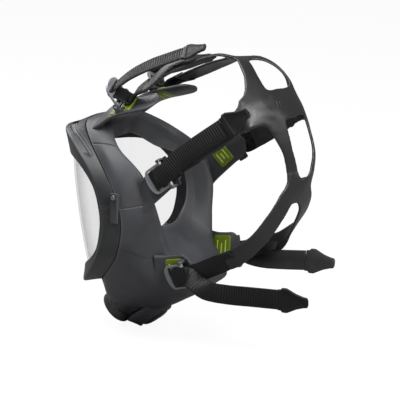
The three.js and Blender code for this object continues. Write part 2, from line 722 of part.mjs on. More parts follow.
function addChin() {
  addPart('connector_housing', housingGeometry(), 'housing');
  addPart('inlet_ring', place(washer(INLET_RADIUS - 0.5, INLET_RADIUS - 4, 1.4, 7), INLET), 'steel');
  addPart('inlet_gasket', place(washer(INLET_RADIUS - 3.5, INLET_RADIUS - 6.5, -2.6, -0.8), INLET), 'rubber');
  addPart('inhale_valve_seat', place(valveSeat(INLET_RADIUS - 3.5, INLET_RADIUS - 6.5, -5, -3.2), INLET), 'frame');
  addPart('inhale_valve_disc', place(disc(INLET_RADIUS - 5, -6.4, -5.4), INLET), 'valve');
  addPart('speech_diaphragm', place(disc(VOICE_RADIUS - GAP, -3, -2), VOICE), 'valve');
  addPart('diaphragm_ring', place(voiceGrille(), VOICE), 'frame');
  const exhaleSeat = valveSeat(EXHALE_RADIUS - GAP, EXHALE_RADIUS - 3.5, -4.4, -2.6);
  addPart('exhale_valve_seat', place(exhaleSeat, EXHALE), 'frame');
  addPart('exhale_valve_disc', place(disc(EXHALE_RADIUS - 2, -2.2, -1.2), EXHALE), 'valve');
  addPart('exhale_spring', place(springGeometry(2.1, 5.4, 7), EXHALE), 'steel');
  addPart('exhale_cover', place(exhaleCover(), EXHALE), 'housing');
}

function addBuckles(frames) {
  for (const spot of Object.keys(PLACES)) {
    for (const [side, sign] of Object.entries(SIDES)) {
      const name = `${spot}_${side}`;
      const frame = frames[name];
      addPart(`marker_${name}`, tabBlock(spot, sign, 0), 'marker');
      addPart(`buckle_base_${name}`, buckleBase(frame), 'buckle');
      addPart(`buckle_pin_${name}`, bucklePin(frame), 'steel');
      addPart(`buckle_${name}`, bucklePlate(frame), 'buckle');
      addPart(`strap_tail_${name}`, tailGeometry(name, frame), 'strap');
      addPart(`pull_tab_${name}`, pullTabGeometry(name, frame), 'strap');
    }
  }
}

function buckleFrames() {
  const frames = {};
  for (const spot of Object.keys(PLACES)) {
    for (const [side, sign] of Object.entries(SIDES)) frames[`${spot}_${side}`] = buckleFrame(spot, sign);
  }
  return frames;
}

const frames = buckleFrames();
addVisor();
addChin();
addBuckles(frames);
addPart('harness_web', harnessGeometry(frames), 'rubber');

const bounds = new THREE.Box3().setFromObject(group);
const middle = bounds.getCenter(new THREE.Vector3());
group.position.set(-middle.x, -middle.y, -bounds.min.z);

export default group;
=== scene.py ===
"""Looks of the full face respirator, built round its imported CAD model.

Shapes are written in work millimetres: mid-plane X = 0, the visor looks along -Y, +Z is up and +X is the
wearer's left. in_frame() moves them into the CAD model's own frame, in metres.
"""

import json
import math

import bmesh
import bpy
import numpy as np
from mathutils import Matrix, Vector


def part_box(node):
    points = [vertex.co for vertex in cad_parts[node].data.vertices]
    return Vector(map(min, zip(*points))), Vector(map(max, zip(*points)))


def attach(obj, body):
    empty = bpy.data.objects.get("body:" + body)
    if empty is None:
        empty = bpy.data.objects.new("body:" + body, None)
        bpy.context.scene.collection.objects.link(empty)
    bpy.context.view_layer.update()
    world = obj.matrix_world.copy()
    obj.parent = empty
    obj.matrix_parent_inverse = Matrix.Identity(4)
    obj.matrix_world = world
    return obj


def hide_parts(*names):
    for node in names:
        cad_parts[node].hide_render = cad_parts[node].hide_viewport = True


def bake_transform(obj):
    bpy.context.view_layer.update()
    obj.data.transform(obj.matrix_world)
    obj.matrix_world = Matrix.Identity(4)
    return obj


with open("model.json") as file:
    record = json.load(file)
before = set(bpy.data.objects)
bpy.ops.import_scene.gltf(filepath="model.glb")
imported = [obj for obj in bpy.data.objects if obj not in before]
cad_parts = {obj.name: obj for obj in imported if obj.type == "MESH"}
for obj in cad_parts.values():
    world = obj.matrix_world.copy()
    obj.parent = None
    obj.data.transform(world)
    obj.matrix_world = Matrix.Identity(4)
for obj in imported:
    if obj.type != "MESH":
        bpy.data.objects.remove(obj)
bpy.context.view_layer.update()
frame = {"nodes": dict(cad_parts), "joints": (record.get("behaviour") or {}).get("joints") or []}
NODES = frame["nodes"]
MM = 0.001

# ---------------- driving dimensions, millimetres

GAP = 0.4
LENS_RADIUS = 85.0
LENS_THICKNESS = 2.0
LENS_MID_Z = -29.0
LENS_AXIS_Y = -17.0
LENS_TILT = 0.1405
LENS_OVERLAP = 1.055
LENS_BULGE = 3.0  # the moulded visor is fuller than a plain cylinder
FRAME_LIP = 3.0
FRAME_WALL = 3.0
RUBBER_WALL = 3.0
TAB_THICKNESS = 3.2
STRAP_WIDTH = 20.0
STRAP_THICKNESS = 2.2
RIB_PITCH = 2.6
RIB_HEIGHT = 0.65
STEPS_PER_RIB = 5
BUCKLE_WIDTH = 29.0
BAR_REACH = 12.0
PIN_RADIUS = 1.0
PIN_HEIGHT = 6.2
LUG_Y = BUCKLE_WIDTH / 2 + 0.3
LUG_THICKNESS = 2.2
ROUND_STEPS = 264  # sections round the face opening

# Nine stations from the top centre, round the wearer's left side, to the bottom centre.
STATIONS = {
    "shoulder": [(0, -117, 50), (40, -109, 52), (68, -84, 42), (83, -54, 14), (86, -42, -15),
                 (85, -41, -40), (78, -54, -71), (50, -84, -103), (0, -105, -105)],
    "rear": [(0, -93, 58), (34, -89, 57), (60, -68, 42), (77, -42, 16), (84.5, -23.5, -15),
             (84, -22, -40), (76, -33, -68), (50, -62, -97), (0, -86, -108)],
    "cheek_front": [(0, -80, 62), (32, -76, 60), (60, -56, 43), (76, -32, 18), (81, -15, -14),
                    (78, -12, -42), (69, -22, -76), (40, -58, -118), (0, -68, -137)],
    "cheek_rear": [(0, -70, 65), (32, -70, 61), (59, -49, 43), (71, -20, 19), (73, -4, -12),
                   (67, -1, -44), (60, -4, -84), (40, -14, -116), (0, -28, -138)],
    "rim": [(0, -56, 64), (32, -59, 58), (57, -39, 41), (65, -10, 19), (63.5, 3.5, -11),
            (54, 8, -44), (47, 14, -72), (40, 33, -100), (0, 37, -100)],
    "seal": [(0, -66, 40), (24, -65, 37), (41, -50, 23), (48, -27, 13), (47, -17, -11),
             (38, -12, -28), (27, -12, -40), (14, -11, -46), (0, -11, -47)],
    # degrees round the visor, unused, height
    "lens": [(0, 0, 28), (28, 0, 27.5), (52, 0, 24), (67, 0, 7), (71, 0, -15), (69.5, 0, -38),
             (60, 0, -64), (35, 0, -84), (0, 0, -88)],
}

SIDES = {"left": 1, "right": -1}
PLACES = {
    "top": {"pin": (38, -46, 85), "along": (-0.02, 0.95, 0.32), "out": (0.38, -0.28, 0.88), "lift": 84},
    "temple": {"pin": (76, 25, 24), "along": (-0.05, 0.8, 0.6), "out": (0.98, -0.02, 0.08), "lift": 0},
    "lower": {"pin": (56, 36, -82), "along": (0.08, 0.95, 0.25), "out": (0.95, 0, -0.3), "lift": 0},
}
TABS = {
    "top": [(33, -82, 50), (36, -68, 61), (37, -56, 71), (37.5, -43, 77), (38, -22, 83), (38, -3, 88.5)],
    "temple": [(71, -18, -16), (68.5, -4, -3), (67.4, 10, 10), (67.8, 25.5, 24), (69, 37, 32.5)],
    "lower": [(55, 2, -80), (51, 14, -80), (49, 27, -78.5), (49, 36, -77), (50, 43, -76)],
}
MARKER_SIZE = {"top": (24, 25), "temple": (18, 18), "lower": (21, 27)}
INSERT_SHIFT = {"top": 15.5, "temple": 1.2, "lower": 1.2}
INSERT_HALF = {"top": 2.3, "temple": 2.5, "lower": 2.5}

TAILS = {
    "top_left": ([(42, -32, 111.5), (38.5, -13, 122), (34, 5, 129.5), (31, 19, 135)], (26, 43, 143)),
    "top_right": ([(-42, -32, 104), (-38, -13, 111), (-32, 3, 117)], (-24, 25, 125)),
    "temple_left": ([(78, 40, 39), (76, 62, 56), (71, 86, 73.5)], (63, 109, 91)),
    "temple_right": ([(-78, 40, 34), (-76, 60, 46), (-70, 80, 58)], (-62, 100, 72)),
    "lower_left": ([(60, 50, -87), (57, 62, -94), (51, 80, -97), (48, 104, -97), (48, 133, -96)],
                   (48, 167, -95.5)),
    "lower_right": ([(-60, 50, -85), (-58.5, 64, -86), (-54, 84, -84), (-49, 116, -80)],
                    (-49, 149, -79.5)),
}
HANGING_FACE = (0.96, 0, -0.28)  # the way a slack lower tail faces

HEAD_MIDDLE = np.array((0, 46, 35.0))
HEAD_RADII = np.array((74, 95, 100.0))
CROWN = (1, 67, 130.5)
NAPE = (1, 138.5, 6)
# The faces that two legs turn to where they join the web, and where along Y they do so.
FLAT_ENDS = {"top_left": ((-0.15, -0.05, 1), 20, 42), "lower_right": ((0.1, 0.95, -0.25), 96, 126)}
LEGS = {
    "top_left": [(38, -29, 93), (37.5, -15, 102), (35, 2, 117), (30, 18, 125.8), (24, 38, 131.6),
                 (15, 54, 134.6), CROWN],
    "top_right": [(-37, -28, 91), (-33, -8, 100), (-26, 14, 110), (-14, 42, 122), CROWN],
    "temple_left": [(73, 35, 32), (70.5, 56, 47), (66, 80, 64), (58.5, 98.5, 80.5), (44.7, 110.4, 89.8)],
    "temple_right": [(-73, 35, 28), (-70, 54, 38), (-63, 78, 53), (-54, 97, 67), (-40, 114, 79)],
    "lower_left": [(53, 64, -70.5), (56, 92, -57), (50, 114, -38), (38, 127, -16), (24, 133.5, 1), NAPE],
    "lower_right": [(-53, 62, -70.5), (-51, 85, -65), (-39, 108, -45), (-18, 131, -14), NAPE],
}
NODE_WIDTH = {"top": 13.0, "temple": 24.0, "lower": 23.0}  # of each leg where it meets the web
# Centre line and width at its start, middle and end.
WEB_STRAPS = [
    ([CROWN, (15, 80, 128), (26, 93, 117), (36, 103, 104), (46, 109, 92)], (12, 15, 30)),
    ([CROWN, (-10, 82, 130), (-20, 96, 122), (-28, 107, 107), (-35.6, 110.2, 91)], (12, 13, 24)),
    ([(-44, 110, 79), (-26, 118.5, 88), (0, 121.5, 91), (28, 117, 92), (56, 103, 88)], (26, 33, 27)),
    ([(35, 117.2, 87.5), (27, 127.5, 62), (21, 132.5, 40), (18, 134.5, 20), (21, 133.5, 2)], (26, 13, 17)),
    ([(-30, 119, 84), (-26, 130, 62), (-19, 139.5, 38), (-10, 140.5, 18), NAPE], (22, 12, 15)),
]

INLET = ((0, -63.5, -132), (0, -0.76, -0.65))
VOICE = ((0, -84.5, -113.5), (0, -0.76, -0.65))
EXHALE = ((0, -31, -141), (0, 0.6, -0.8))
INLET_RADIUS = 17.0
VOICE_RADIUS = 8.4
EXHALE_RADIUS = 14.0
HOUSING_MIDDLE = np.array((0, -56, -127.0))
HOUSING_RADII = np.array((28, 33, 21.0))
HOUSING_TURN = 0.35  # radians about X
HOUSING_TOP = -113.0

# ---------------- small tools


def unit(v):
    v = np.asarray(v, float)
    return v / np.linalg.norm(v, axis=-1, keepdims=True)


def work_shift():
    """What turns work millimetres into the CAD frame, from a joint whose work place is known."""
    joint = next(j for j in frame["joints"] if j["name"] == "buckle_temple_left_lift")
    return np.array(joint["pos_m"]) - MM * np.array(PLACES["temple"]["pin"])


SHIFT = work_shift()


def in_frame(points):
    return np.asarray(points, float) * MM + SHIFT


def node_middle(name):
    low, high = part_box(name)
    return ((np.array(low) + np.array(high)) / 2 - SHIFT) / MM


def smoothstep(low, high, x):
    t = np.clip((np.asarray(x, float) - low) / (high - low), 0, 1)
    return t * t * (3 - 2 * t)


def plateau(x, start, full, drop, end):
    """0, then 1 from full to drop, then 0 again after end."""
    return smoothstep(start, full, x) * (1 - smoothstep(drop, end, x))


def piece(name, shape, finish, body="root", node=None, sharp=38):
    """A mesh object from work points and faces that rides on a body and stands in for a CAD node."""
    points, faces = shape
    mesh = bpy.data.meshes.new(name)
    mesh.from_pydata(in_frame(points).tolist(), [], [list(map(int, f)) for f in faces])
    edit = bmesh.new()
    edit.from_mesh(mesh)
    bmesh.ops.remove_doubles(edit, verts=edit.verts, dist=1e-7)
    bmesh.ops.recalc_face_normals(edit, faces=edit.faces)
    edit.to_mesh(mesh)
    edit.free()
    mesh.shade_smooth()
    mesh.set_sharp_from_angle(angle=math.radians(sharp))
    mesh.materials.append(finish)
    made = bpy.data.objects.new(name, mesh)
    bpy.context.scene.collection.objects.link(made)
    if body:
        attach(made, body)
    if node:
        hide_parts(node)
    return made


def loft(sections, ring=False):
    """Skins rows of equal closed outlines. A ring closes on itself; otherwise both ends are capped."""
    sections = np.asarray(sections, float)
    rows, count = sections.shape[:2]
    faces = []
    for i in range(rows if ring else rows - 1):
        here, there = i * count, ((i + 1) % rows) * count
        for j in range(count):
            k = (j + 1) % count
            faces.append((here + j, here + k, there + k, there + j))
    if not ring:
        faces.append(tuple(range(count)))
        faces.append(tuple(range((rows - 1) * count, rows * count)))
    return sections.reshape(-1, 3), faces


def together(parts):
    """Several (points, faces) as one."""
    points, faces, base = [], [], 0
    for p, f in parts:
        points.append(np.asarray(p, float))
        faces += [tuple(i + base for i in face) for face in f]
        base += len(p)
    return np.vstack(points), faces


def between(t, start, end, a, b):
    """The value at t on the line that runs from a at start to b at end."""
    return (end - t) / (end - start) * a + (t - start) / (end - start) * b


def smooth_path(points, count):
    """An even row of points along a centripetal curve through the given ones, and its length."""
    p = np.array(points, float)
    p = np.vstack([2 * p[0] - p[1], p, 2 * p[-1] - p[-2]])
    knots = np.concatenate([[0], np.cumsum(np.sqrt(np.linalg.norm(np.diff(p, axis=0), axis=1)))])
    fine = []
    for i in range(1, len(p) - 2):
        t0, t1, t2, t3 = knots[i - 1:i + 3]
        t = np.linspace(t1, t2, 30, endpoint=False)[:, None]
        a = between(t, t0, t1, p[i - 1], p[i])
        b = between(t, t1, t2, p[i], p[i + 1])
        c = between(t, t2, t3, p[i + 1], p[i + 2])
        fine.append(between(t, t1, t2, between(t, t0, t2, a, b), between(t, t1, t3, b, c)))
    fine = np.vstack(fine + [p[-2]])
    run = np.concatenate([[0], np.cumsum(np.linalg.norm(np.diff(fine, axis=0), axis=1))])
    wanted = np.linspace(0, run[-1], count)
    return np.stack([np.interp(wanted, run, fine[:, k]) for k in range(3)], 1), run[-1]


def path_length(points):
    return smooth_path(points, 2)[1]


def head_face(point):
    return unit((np.asarray(point, float) - HEAD_MIDDLE) / HEAD_RADII ** 2)


def strip_frames(centres, face_at, count):
    """Points along a strap with its side and outer directions."""
    points, length = smooth_path(centres, count)
    along = unit(np.gradient(points, axis=0))
    face = np.array([face_at(u, p) for u, p in zip(np.linspace(0, 1, count), points)], float)
    face = unit(face - (face * along).sum(1, keepdims=True) * along)
    return points, along, np.cross(along, face), face, length


# ---------------- materials


class Nodes:
    """A short way to build the nodes of a material or a world."""

    def __init__(self, name, kind=bpy.data.materials, surface="Principled BSDF"):
        self.made = kind.new(name)
        self.made.use_nodes = True
        self.tree = self.made.node_tree
        self.inputs = self.tree.nodes[surface].inputs
        self.place = self.add("ShaderNodeTexCoord").outputs["Object"]

    def add(self, kind, **values):
        node = self.tree.nodes.new(kind)
        for key, value in values.items():
            setattr(node, key, value)
        return node

    def set(self, values, inputs=None):
        """Gives input sockets, of the surface if no others, a value or a link."""
        for key, value in values.items():
            socket = (inputs or self.inputs)[key]
            if isinstance(value, bpy.types.NodeSocket):
                self.tree.links.new(value, socket)
            else:
                socket.default_value = value

    def noise(self, scale, detail):
        node = self.add("ShaderNodeTexNoise")
        self.set({"Vector": self.place, "Scale": scale, "Detail": detail, "Roughness": 0.55}, node.inputs)
        return node.outputs["Fac"]

    def ramp(self, source, low, high, start=0.0, end=1.0):
        node = self.add("ShaderNodeMapRange")
        self.set({"Value": source, "From Min": start, "From Max": end, "To Min": low, "To Max": high},
                 node.inputs)
        return node.outputs["Result"]

    def mix(self, share, a, b):
        """A colour between two colours or sockets."""
        node = self.add("ShaderNodeMix", data_type="RGBA")
        a, b = [(*value, 1) if isinstance(value, tuple) else value for value in (a, b)]
        self.set({"Factor": share, 6: a, 7: b}, node.inputs)
        return node.outputs[2]


def finish(name, colour, wear_and_highlight, rough, metal=0.0, grain=900.0, bump=0.08, coat=0.0, specular=0.5):
    """A moulded or metal surface: mottled colour, lighter edges that are partly wear and partly a painted
    edge highlight, uneven gloss and fine grain.
    """
    n = Nodes(name)
    cloudy = n.noise(26.0, 4.0)
    dark, light = [tuple(share * c for c in colour) for share in (0.82, 1.18)]
    body = n.mix(n.ramp(cloudy, 0, 1, 0.35, 0.65), dark, light)
    # Pointiness lightens the edges: partly wear, partly a painted edge highlight.
    edge = n.ramp(n.add("ShaderNodeNewGeometry").outputs["Pointiness"], 0.0, 0.55, 0.515, 0.58)
    relief = n.add("ShaderNodeBump")
    n.set({"Strength": bump, "Distance": 0.0004, "Height": n.noise(grain, 2.0)}, relief.inputs)
    uneven = n.ramp(cloudy, rough - 0.06, rough + 0.06, 0.3, 0.7)
    n.set({"Base Color": n.mix(edge, body, wear_and_highlight), "Roughness": uneven, "Metallic": metal,
           "Specular IOR Level": specular, "Coat Weight": coat, "Coat Roughness": 0.12,
           "Normal": relief.outputs["Normal"]})
    return n.made


def marker_finish():
    """Slightly translucent green plastic."""
    made = finish("marker_green", (0.16, 0.24, 0.012), (0.4, 0.52, 0.06), 0.35, grain=500.0, bump=0.05)
    inputs = made.node_tree.nodes["Principled BSDF"].inputs
    inputs["Subsurface Weight"].default_value = 0.25
    inputs["Subsurface Radius"].default_value = (0.5, 0.9, 0.1)
    inputs["Subsurface Scale"].default_value = 0.002
    return made


def lens_finish():
    """Clear polycarbonate: nearly see-through face on, greyer and more mirror-like at a glance."""
    n = Nodes("lens_clear")
    facing = n.add("ShaderNodeLayerWeight").outputs["Facing"]
    n.set({"Base Color": (0.3, 0.31, 0.315, 1), "Roughness": n.ramp(n.noise(14.0, 3.0), 0.02, 0.05, 0.3, 0.7),
           "IOR": 2.6, "Alpha": n.ramp(facing, 0.1, 0.3, 0.5, 1.0)})
    return n.made


LENS = lens_finish()
# A lighter copy of the strap rubber: painted light for the right lower tail, which faces away from the lamps.
STRAP_PAINTED_LIGHT = finish("strap_rubber_painted_light", (0.035, 0.035, 0.036), (0.07, 0.07, 0.072), 0.5, grain=1300.0,
                    bump=0.15, specular=0.4)
FRAME = finish("frame_satin", (0.032, 0.033, 0.035), (0.12, 0.124, 0.13), 0.42, grain=1500.0, bump=0.1,
               specular=0.45)
RUBBER = finish("face_rubber", (0.055, 0.056, 0.062), (0.12, 0.122, 0.13), 0.46, grain=1100.0, bump=0.12,
                specular=0.4)
WEB = finish("harness_rubber", (0.012, 0.0124, 0.0132), (0.05, 0.052, 0.055), 0.4, grain=1000.0, bump=0.07,
             specular=0.55)
STRAP = finish("strap_rubber", (0.0065, 0.0065, 0.007), (0.026, 0.026, 0.027), 0.5, grain=1300.0, bump=0.15,
               specular=0.3)
GLOSS = finish("housing_gloss", (0.008, 0.008, 0.009), (0.05, 0.05, 0.052), 0.2, grain=300.0, bump=0.02,
               coat=0.5)
BUCKLE = finish("buckle_satin", (0.27, 0.28, 0.295), (0.5, 0.52, 0.54), 0.38, metal=0.3, grain=1400.0,
                bump=0.08)
STEEL = finish("steel_bright", (0.32, 0.33, 0.345), (0.7, 0.7, 0.72), 0.28, metal=1.0, grain=700.0, bump=0.04)
VALVE = finish("valve_silicone", (0.6, 0.57, 0.48), (0.75, 0.72, 0.64), 0.45, grain=500.0, bump=0.04)
MARKER = marker_finish()
# The ribs get a lighter green than the plate: a painted highlight along them.
MARKER_RIB_HIGHLIGHT = finish("marker_rib_painted_highlight", (0.55, 0.7, 0.12), (0.75, 0.85, 0.3), 0.4, grain=500.0, bump=0.04)

# ---------------- curves round the face opening


def mirrored(stations):
    left = np.array(stations, float)
    return np.vstack([left, left[1:-1][::-1] * (-1, 1, 1)])


LOOPS = {name: mirrored(stations) for name, stations in STATIONS.items()}


def on_loop(name, t):
    points = LOOPS[name]
    count = len(points)
    place = (np.asarray(t, float) % 1.0) * count
    first = np.floor(place).astype(int)
    w = (place - first)[:, None]
    p0, p1, p2, p3 = (points[(first + k) % count] for k in (-1, 0, 1, 2))
    v0, v1 = (p2 - p0) / 2, (p3 - p1) / 2
    return (2 * p1 - 2 * p2 + v0 + v1) * w ** 3 + (-3 * p1 + 3 * p2 - 2 * v0 - v1) * w ** 2 + v0 * w + p1


def lens_point(t, reach, radius):
    """A point of the visor: reach 1 is the edge of the visible opening, 0 is the middle."""
    edge = on_loop("lens", t)
    angle = np.radians(edge[:, 0] * reach)
    z = LENS_MID_Z + (edge[:, 2] - LENS_MID_Z) * reach
    axis_y = LENS_AXIS_Y - LENS_TILT * (z - LENS_MID_Z)
    return np.stack([radius * np.sin(angle), axis_y - radius * np.cos(angle), z], 1)


def inward(points, distance):
    """Moves points towards the hollow of the mask, which lies somewhat behind each of them."""
    behind = 12
    target = np.stack([0 * points[:, 1], points[:, 1] + behind, 0 * points[:, 1] + LENS_MID_Z], 1)
    return points + unit(target - points) * np.asarray(distance, float).reshape(-1, 1)


def round_corners(corners, radii, steps=4):
    """A closed outline, given as rows of corner points, with each corner turned into a small arc."""
    outline = []
    count = len(corners)
    for i, (corner, radius) in enumerate(zip(corners, radii)):
        if not np.any(radius):
            outline.append(corner)
            continue
        before = corners[i - 1] - corner
        after = corners[(i + 1) % count] - corner
        shorter = np.minimum(np.linalg.norm(before, axis=1), np.linalg.norm(after, axis=1))
        reach = np.minimum(radius, 0.45 * shorter)
        a = corner + unit(before) * reach[:, None]
        b = corner + unit(after) * reach[:, None]
        for s in np.linspace(0, 1, steps + 1):
            outline.append((1 - s) ** 2 * a + 2 * s * (1 - s) * corner + s ** 2 * b)
    return outline


# ---------------- visor and lens frame


def build_lens():
    rings = 22
    t = np.arange(ROUND_STEPS) / ROUND_STEPS
    outer, inner = [], []
    for r in range(1, rings + 1):
        reach = LENS_OVERLAP * r / rings
        radius = LENS_RADIUS + LENS_BULGE * (1 - min(1, reach) ** 2)
        outer.append(lens_point(t, reach, radius))
        inner.append(lens_point(t, reach, radius - LENS_THICKNESS))
    piece("visor", loft(outer + inner[::-1]), LENS, node="lens")


def frame_outline(t):
    """The clamp frame's section: lip, band, shoulder, side with its groove, rear edge and pocket."""
    pocket = LENS_OVERLAP + 0.018
    lip = lens_point(t, 1.0, LENS_RADIUS + GAP)
    bezel = lens_point(t, 1.0, LENS_RADIUS + FRAME_LIP)
    shoulder, rear = on_loop("shoulder", t), on_loop("rear", t)
    turn = np.minimum(t % 1.0, 1 - t % 1.0)  # 0 at the top centre, 0.5 at the bottom
    groove = plateau(turn, 0.060, 0.068, 0.146, 0.153)
    drift = 0.34 * smoothstep(0.07, 0.15, turn)  # the groove runs towards the rear edge
    slot = 1 - smoothstep(0.052, 0.060, turn)
    corners = [lip, bezel]
    radii = [0.4, 1.4]
    for share, depth in ((0.3, 0.5), (0.6, 0.5)):  # the band is slightly hollow
        corners.append(inward(bezel + (shoulder - bezel) * share, depth))
        radii.append(0)
    corners.append(shoulder)
    radii.append(4.0 + 8.0 * smoothstep(0.34, 0.44, turn))  # rounder at the bottom
    side = [(0.25, 0, 0), (0.275, 1.0, 0), (0.29, 1.2, 0), (0.31, 1.2, 5.0), (0.45, 1.2, 6.0),
            (0.47, 1.0, 6.0), (0.495, 0, 6.0), (0.60, 0, 5.5), (0.625, 0, 0)]
    for share, shallow, deep in side:
        place = (share + drift)[:, None]
        corners.append(inward(shoulder + (rear - shoulder) * place, shallow * groove + deep * slot))
        radii.append(0)
    corners += [rear, inward(rear, FRAME_WALL),
                lens_point(t, pocket, LENS_RADIUS - LENS_THICKNESS - GAP),
                lens_point(t, pocket, LENS_RADIUS + GAP)]
    radii += [1.3, 0.5, 0, 0]
    return round_corners(corners, radii)


def build_frame():
    split = 0.0006
    halves = {"upper": (-0.25, 0.25), "lower": (0.25, 0.75)}
    for half, (start, end) in halves.items():
        t = np.linspace(start + split, end - split, ROUND_STEPS // 2 + 1)
        shape = loft(np.array(frame_outline(t)).transpose(1, 0, 2))
        piece(f"bezel_{half}", shape, FRAME, node=f"lens_frame_{half}", sharp=42)


# ---------------- rubber face blank

MOULD_LINES = (2.0 / 16, 4.0 / 16, 5.6 / 16)  # where the parting lines cross the skirt
MOULD_DEPTH = 0.55
MOULD_HALF = 0.0016  # half of a line's width, as a share of the way round


def skirt_places():
    """Even places round the opening, closer together at each parting line."""
    places = list(np.arange(ROUND_STEPS) / ROUND_STEPS)
    lines = [t for line in MOULD_LINES for t in (line, 1 - line)]
    places = [t for t in places if min(abs(t - line) for line in lines) > 1.3 * MOULD_HALF]
    for line in lines:
        places += [line + k * MOULD_HALF for k in (-1, -0.45, 0, 0.45, 1)]
    return np.array(sorted(places)), lines


def path_rows(rows, count):
    """Smooth rows of points through the given ones, station by station."""
    stacked = np.array(rows).transpose(1, 0, 2)
    return np.array([smooth_path(station, count)[0] for station in stacked]).transpose(1, 0, 2)


def skirt_sections():
    t, lines = skirt_places()
    rear, shoulder = on_loop("rear", t), on_loop("shoulder", t)
    cheek, back = on_loop("cheek_front", t), on_loop("cheek_rear", t)
    rim, seal = on_loop("rim", t), on_loop("seal", t)
    behind = LENS_RADIUS - LENS_THICKNESS - 2 * GAP
    backwards = unit(rear - shoulder)
    start = rear + backwards * 2.5 * GAP
    roll = rim + (seal - rim) * 0.08 + (0, 1.5, 0)
    outer = path_rows([start, cheek, back, rim, roll, seal], 44)
    off = np.min([abs(t - line) for line in lines], axis=0) / MOULD_HALF
    depth = MOULD_DEPTH * np.clip(1 - off, 0, 1)
    along = np.linspace(0, 1, len(outer))
    for i, row in enumerate(outer):
        outer[i] = inward(row, depth * plateau(along[i], 0.0, 0.03, 0.45, 0.62))
    tip = seal + (0, -2, 0)
    inner = path_rows([tip, inward(rim, RUBBER_WALL), inward(back, RUBBER_WALL), inward(cheek, RUBBER_WALL),
                       inward(rear, FRAME_WALL + 6 * GAP + RUBBER_WALL)], 32)
    front = [lens_point(t, 0.985, behind - RUBBER_WALL), lens_point(t, 0.985, behind),
             lens_point(t, LENS_OVERLAP - 0.035, behind),
             inward(rear, FRAME_WALL + 6 * GAP) + backwards * 2 * GAP]
    return np.array(front + list(outer) + list(inner)).transpose(1, 0, 2)


def cut_with(target, shape):
    """Takes a shape's space out of a piece, for good."""
    cutter = piece("cutter", shape, target.data.materials[0], body=None)
    change = target.modifiers.new("cut", "BOOLEAN")
    change.operation = "DIFFERENCE"
    change.solver = "EXACT"
    change.object = cutter
    bpy.context.view_layer.update()
    ready = target.evaluated_get(bpy.context.evaluated_depsgraph_get())
    mesh = bpy.data.meshes.new_from_object(ready)
    target.modifiers.clear()
    target.data = mesh
    bpy.data.objects.remove(cutter)


def build_skirt():
    shape = loft(skirt_sections(), ring=True)
    skirt = piece("face_skirt", shape, RUBBER, node="face_blank", sharp=50)
    cut_with(skirt, chin_ball_mesh(GAP))
    cut_with(skirt, plug(INLET, INLET_RADIUS + GAP, -14, 14))
    cut_with(skirt, plug(VOICE, VOICE_RADIUS + 2.2, -9, 9, 48))
    cut_with(skirt, plug(EXHALE, EXHALE_RADIUS + 2, -12, 13))


def rounded_width(width, tip):
    def at(u):
        if u < tip:
            return width
        return width * math.sqrt(max(0.03, 1 - ((u - tip) / (1 - tip)) ** 2))
    return at


TAB_WIDTHS = {
    "top": lambda u: 19 + 31 * u if u < 0.35 else rounded_width(30, 0.84)(u),
    "temple": lambda u: 30 - 3 * smoothstep(0, 0.3, u) if u < 0.8 else rounded_width(27, 0.8)(u),
    "lower": rounded_width(34, 0.75),
}


def band_outline(half, thickness, dish, border):
    """A strap's section with round edges. A dish above 0 sinks the outer face, below 0 raises it."""
    r = thickness / 2
    edge = [(half - r + r * math.cos(a), r * math.sin(a)) for a in np.linspace(-1.25, 1.25, 6)]
    inset = max(0.2, half - border)
    top = [(inset, r), (inset - 0.5, r - dish), (0, r - dish), (-inset + 0.5, r - dish), (-inset, r)]
    return edge + top + [(-x, z) for x, z in edge[::-1]] + [(0, -r)]


def skin(points, side, face, outline_at, length):
    """Joins the outlines that stand along a strap, given by share and by distance along it."""
    sections = []
    for i, (point, across, out) in enumerate(zip(points, side, face)):
        u = i / (len(points) - 1)
        outline = np.array(outline_at(u, u * length))
        sections.append(point + outline[:, :1] * across + outline[:, 1:] * out)
    return loft(sections)


def sweep(centres, face_at, outline_at, count):
    points, _, side, face, length = strip_frames(centres, face_at, count)
    return skin(points, side, face, outline_at, length)


class BuckleFrame:
    """Local axes of a buckle: x the way the strap leaves, y across, z away from the head."""

    def __init__(self, place, sign):
        flip = np.array((sign, 1, 1.0))
        self.along = unit(np.array(PLACES[place]["along"]) * flip)
        out = np.array(PLACES[place]["out"]) * flip
        self.out = unit(out - (out @ self.along) * self.along)
        self.across = np.cross(self.out, self.along)
        self.axes = np.array([self.along, self.across, self.out])
        self.pin = np.array(PLACES[place]["pin"]) * flip
        self.lift = PLACES[place]["lift"]

    def at(self, x, y, z):
        return self.pin + self.along * x + self.across * y + self.out * z


FRAMES = {f"{p}_{side}": BuckleFrame(p, sign) for p in PLACES for side, sign in SIDES.items()}


def tab_path(place, side):
    return [(x * SIDES[side], y, z) for x, y, z in TABS[place]]


def build_tab(place, side):
    out = FRAMES[f"{place}_{side}"].out
    root = 2.6 if place == "top" else 1.6  # how much thicker the tab starts

    def outline(u, _):
        thickness = TAB_THICKNESS + root * (1 - smoothstep(0.0, 0.45, u))
        thickness *= 1 - 0.35 * smoothstep(0.93, 1.0, u)
        dish = 0.45 * plateau(u, 0.3, 0.38, 0.88, 0.95)
        return band_outline(TAB_WIDTHS[place](u) / 2, thickness, dish, 2.4)

    shape = sweep(tab_path(place, side), lambda u, p: out, outline, 60)
    piece(f"tab_{place}_{side}", shape, RUBBER)


# ---------------- green inserts


